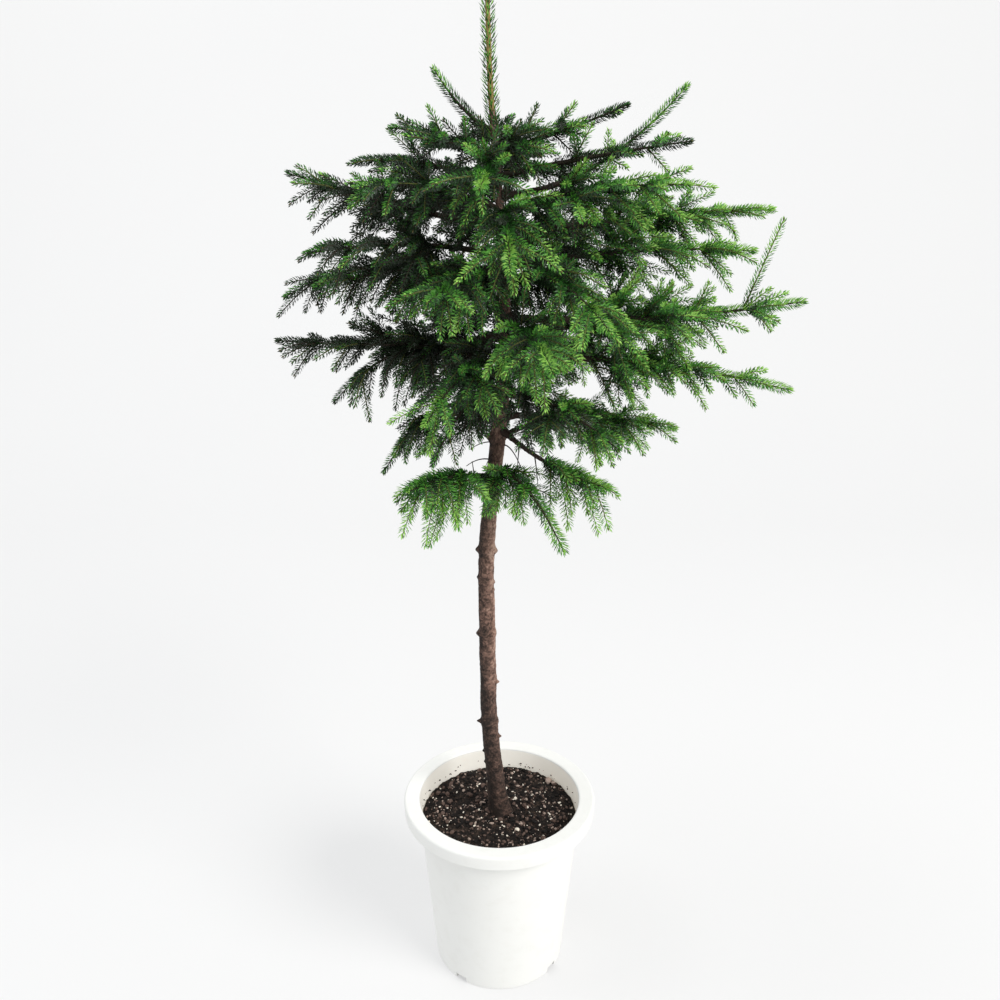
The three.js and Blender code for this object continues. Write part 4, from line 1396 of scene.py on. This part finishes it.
class SPRUCE_OT_trunk(bpy.types.Operator):
    """The trunk with its bark's relief, scar rings and knobs, and the bare twigs under the crown"""

    bl_idname = "spruce.trunk"
    bl_label = "Trunk"

    def execute(self, context):
        sizes, shades = settings()
        points, tone = trunk_surface(sizes.bark_relief / MM)
        known = np.array([shades.bark_dark, shades.bark_brown, shades.bark_warm, shades.bark_pale])
        tones = [[np.interp(number / 2, range(4), part) for part in known.T] for number in range(BARK_TONES)]
        barks = [bark_finish(f"bark_{number + 1}", tuple(shade)) for number, shade in enumerate(tones)]
        faces = closed_faces(TRUNK_ROWS, TRUNK_CORNERS)
        make_piece("trunk_bark", points, faces, barks, "bark", ["trunk"], tone)

        twigs = listed_shoots(LIMB_TWIGS, *bough_lines(BOUGHS))
        curves, sides = (np.concatenate(parts) for parts in zip(bough_lines(DEAD_TWIGS), twigs[:2]))
        thick = np.array([twig.thick for twig in DEAD_TWIGS] + [LIMB_TWIG_THICK] * len(LIMB_TWIGS))
        ones = np.ones(len(thick))
        tubes = tube_rings(curves, sides, 0 * ones, ones, thick, 0.45 * thick, 12, 6)
        finish = bark_finish("dead_twig_bark", TWIG_BROWN)
        make_piece("dead_twigs", *alike(*tubes), [finish], "bark", ["trunk"])
        return {"FINISHED"}


class SPRUCE_OT_boughs(bpy.types.Operator):
    """The bare boughs, each a tapering limb with bark relief, thickened into a collar at the trunk"""

    bl_idname = "spruce.boughs"
    bl_label = "Boughs"

    def execute(self, context):
        picked = [index for index, bough in enumerate(BOUGHS) if bough.bare]
        count, rings, corners = len(picked), BOUGH_ROWS, BOUGH_CORNERS
        bare, reach = bough_values(picked, "bare", "reach")
        lines, sides = bough_lines([BOUGHS[index] for index in picked])
        share = np.linspace(0.01, 1, rings)[None] * (bare + 0.03)[:, None]
        owner = np.repeat(np.arange(count), rings)
        point, _, side, above = frames_at(lines[owner], sides[owner], share.ravel())
        from_trunk = np.hypot(*(point - stem_point(point[:, 2])).T[:2])
        rng = np.random.default_rng(LIMB_BARK_SEED)
        across, along = np.meshgrid(np.arange(corners) / corners, np.linspace(0, 1, rings))
        rough = [layered_noise(across, along, rng, (6, 26, 1), (9, 50, 0.6)) for _ in picked]
        rough = np.concatenate(rough)
        radius = (limb_foot(reach)[:, None] * lerp(1, LIMB_TIP_SHARE, share)).ravel()
        collar = COLLAR_SWELL * np.exp(-np.clip(from_trunk - COLLAR_FROM, 0, None) / COLLAR_FADE)
        radius = (radius + collar)[:, None] + rough * LIMB_RELIEF
        body = point[:, None] + rings_across(side, above, corners) * radius[..., None]
        middle = point.reshape(count, rings, 3)
        points = np.concatenate([body.reshape(count, -1, 3), middle[:, :1], middle[:, -1:]], 1)
        quads, *caps = closed_faces(rings, corners)
        points, faces = alike(points, quads, np.concatenate(caps))
        nodes = ["bough_" + BOUGHS[index].name for index in picked]
        make_piece("bough_bark", points, faces, [bark_finish("bough_bark", TWIG_BROWN)], "bark", nodes)
        return {"FINISHED"}


def twigs_and_buds(shoots):
    """Points and faces of the shoots' tubes and buds, and each face's bark: old and shaded, young and lit where
    the spray's painted light is bright, or a bud's scales."""
    is_stem = shoots.order == STEM
    sets = []
    for picked, rings, corners in (is_stem, STEM_RINGS, STEM_CORNERS), (~is_stem, TWIG_RINGS, TWIG_CORNERS):
        some = picked_from(shoots, picked)
        ends = np.full(len(some.owner), 0.99)
        tubes = tube_rings(some.curves, some.across, some.begins, ends, some.foot, some.tip, rings, corners)
        # Shoots other than stems whose spray has bright painted light take the young, lit bark, as painted
        # light.
        sets.append((*tubes, (some.tone >= 2) & (some.order != STEM)))
    budded = picked_from(shoots, shoots.order <= SHOOT)
    sets.append((*buds_on(budded), np.full(len(budded.owner), 2)))
    offset, all_points, all_faces, kinds = 0, [], [], []
    for points, faces, kind in sets:
        kinds.append(np.repeat(kind.astype(int), len(faces)))
        points, faces = alike(points, faces)
        all_points.append(points)
        all_faces.append(faces[0] + offset)
        offset += len(points)
    return [np.concatenate(parts) for parts in (all_points, all_faces, kinds)]


class SPRUCE_OT_foliage(bpy.types.Operator):
    """Every mass of foliage: twigs, buds and needles in sprays, grown on from the boughs"""

    bl_idname = "spruce.foliage"
    bl_label = "Foliage"

    def execute(self, context):
        sizes, shades = settings()
        growth = grow_crown()
        rng = np.random.default_rng(SPRAY_SEED)
        growth = growth._replace(tone=tone_of_sprays(growth, rng))
        # The greens are levels of painted light and shade, and the young, lit twig bark goes where the painted
        # light is bright.
        greens = needle_finishes("needles_", shades, "old", "deep", "mid", "fresh", "bright")
        barks = [
            twig_finish("old_twig_bark", shades.twig_old_shaded),
            twig_finish("young_twig_bark", shades.twig_young_lit),
            twig_finish("bud_scales", colour(104, 96, 56)),
        ]
        share = np.cumsum(np.bincount(growth.owner, curve_lengths(growth.curves), len(BOUGHS)))
        tier = np.minimum((share / share[-1] * TIERS - 1e-6).astype(int), TIERS - 1)
        for number in range(TIERS):
            indices = np.flatnonzero(tier == number)
            nodes = ["foliage_" + BOUGHS[index].name for index in indices]
            shoots = picked_from(growth, np.isin(growth.owner, indices))
            points, owner, along_span, under = needles_on(shoots, sizes, rng)
            # Painted light and shade on each needle: darker on a shoot's inner fifth, on the inner three fifths
            # of the high stems and on a shoot's underside, brighter on its outer third, and darker again on a
            # needle's root and lower faces.
            high_stem = (shoots.order[owner] == STEM) & (points[:, 0, 2] > 740)
            shaded_inner = (along_span < 0.2) | (along_span < 0.6) & high_stem
            spray = shoots.tone[owner] + (along_span > 0.66) - shaded_inner - under
            spray = spray - rng.choice(3, len(spray), p=TONE_CHANCES)
            spray = np.clip(spray[:, None] - NEEDLE_SHADE, 0, len(greens) - 1)
            name, (points, faces) = f"needles_tier_{number + 1}", alike(points, NEEDLE_FACES)
            make_piece(name, points, faces, greens, "needles", nodes, spray.ravel(), smooth=False)
            points, faces, kinds = twigs_and_buds(shoots)
            make_piece(f"twigs_tier_{number + 1}", points, [faces], barks, "bark", nodes, kinds)
        return {"FINISHED"}


class SPRUCE_OT_leader(bpy.types.Operator):
    """The leading shoot: a yellow-brown twig with needles pressed forwards"""

    bl_idname = "spruce.leader"
    bl_label = "Leader"

    def execute(self, context):
        sizes, shades = settings()
        rng = np.random.default_rng(LEADER_SEED)
        top = LEADER_TOP - 5
        centre = stem_point(np.linspace(TRUNK_TIP - 1, top, LEADER_RINGS))
        radius = lerp(TIP_RADIUS, LEADER_END_RADIUS, np.linspace(0, 1, LEADER_RINGS))
        radius = radius + 0.25 * np.sin(np.arange(LEADER_RINGS) * 2.2)
        rings = level_rings(centre, radius, LEADER_CORNERS)
        points = np.concatenate([rings, centre[:1], centre[-1:] + UP * 5])
        faces = closed_faces(LEADER_RINGS, LEADER_CORNERS)
        finish = twig_finish("leader_bark", shades.leader_twig)
        make_piece("leader_twig", points, faces, [finish], "bark", ["leader_needles"])

        count = LEADER_NEEDLES
        number = np.arange(count)
        span = (number + rng.uniform(0, 1, count)) / count
        level = lerp(TRUNK_TIP - LEADER_NEEDLES_BELOW, top - 1, span)
        point = stem_point(level)
        along = unit(stem_point(level + 1) - stem_point(level - 1))
        spin = number * GOLDEN_ANGLE + rng.uniform(-0.2, 0.2, count)
        out = level_way(spin)
        near_tip = np.clip(1 - (top - level) / LEADER_CLOSING, 0, 1)
        thick = lerp(TIP_RADIUS, LEADER_END_RADIUS, np.clip(span, 0, 1))[:, None]
        length = sizes.leader_needle_length / MM * (1 - 0.35 * near_tip) * rng.uniform(0.8, 1.15, count)
        angle = np.radians(40 - 18 * near_tip + rng.uniform(-8, 8, count))
        width = np.full(count, LEADER_NEEDLE_WIDTH)
        points = needle_points(point + out * thick * 0.85, along, out, length, width, angle, 0.0)
        points, faces = alike(points, NEEDLE_FACES)
        # Random greens, with each needle's root and lower faces a step darker as painted shade.
        tone = (rng.integers(1, 4, count)[:, None] - NEEDLE_SHADE).ravel()
        greens = needle_finishes("leader_needles_", shades, "deep", "mid", "fresh", "bright")
        make_piece("leader_spray", points, faces, greens, "needles", ["leader_needles"], tone, smooth=False)
        return {"FINISHED"}


STEPS = (
    SPRUCE_OT_stage,
    SPRUCE_OT_pot,
    SPRUCE_OT_soil,
    SPRUCE_OT_trunk,
    SPRUCE_OT_boughs,
    SPRUCE_OT_foliage,
    SPRUCE_OT_leader,
)


class SPRUCE_PT_panel(bpy.types.Panel):
    """Steps that make the spruce, in order"""

    bl_idname = "SPRUCE_PT_panel"
    bl_label = "Potted Yezo spruce"
    bl_space_type = "VIEW_3D"
    bl_region_type = "UI"
    bl_category = "Spruce"

    def draw(self, context):
        for group in (context.scene.spruce_sizes, context.scene.spruce_colours):
            box = self.layout.box()
            for name in group.__annotations__:
                box.prop(group, name)
        for step in STEPS:
            self.layout.operator(step.bl_idname)


CLASSES = (SpruceSizes, SpruceColours, *STEPS, SPRUCE_PT_panel)


def register():
    for cls in CLASSES:
        bpy.utils.register_class(cls)
    bpy.types.Scene.spruce_sizes = PointerProperty(type=SpruceSizes)
    bpy.types.Scene.spruce_colours = PointerProperty(type=SpruceColours)


def unregister():
    del bpy.types.Scene.spruce_sizes
    del bpy.types.Scene.spruce_colours
    for cls in reversed(CLASSES):
        bpy.utils.unregister_class(cls)


def main():
    register()
    bpy.ops.spruce.stage()
    bpy.ops.spruce.pot()
    bpy.ops.spruce.soil()
    bpy.ops.spruce.trunk()
    bpy.ops.spruce.boughs()
    bpy.ops.spruce.foliage()
    bpy.ops.spruce.leader()


if __name__ == "__main__":
    main()
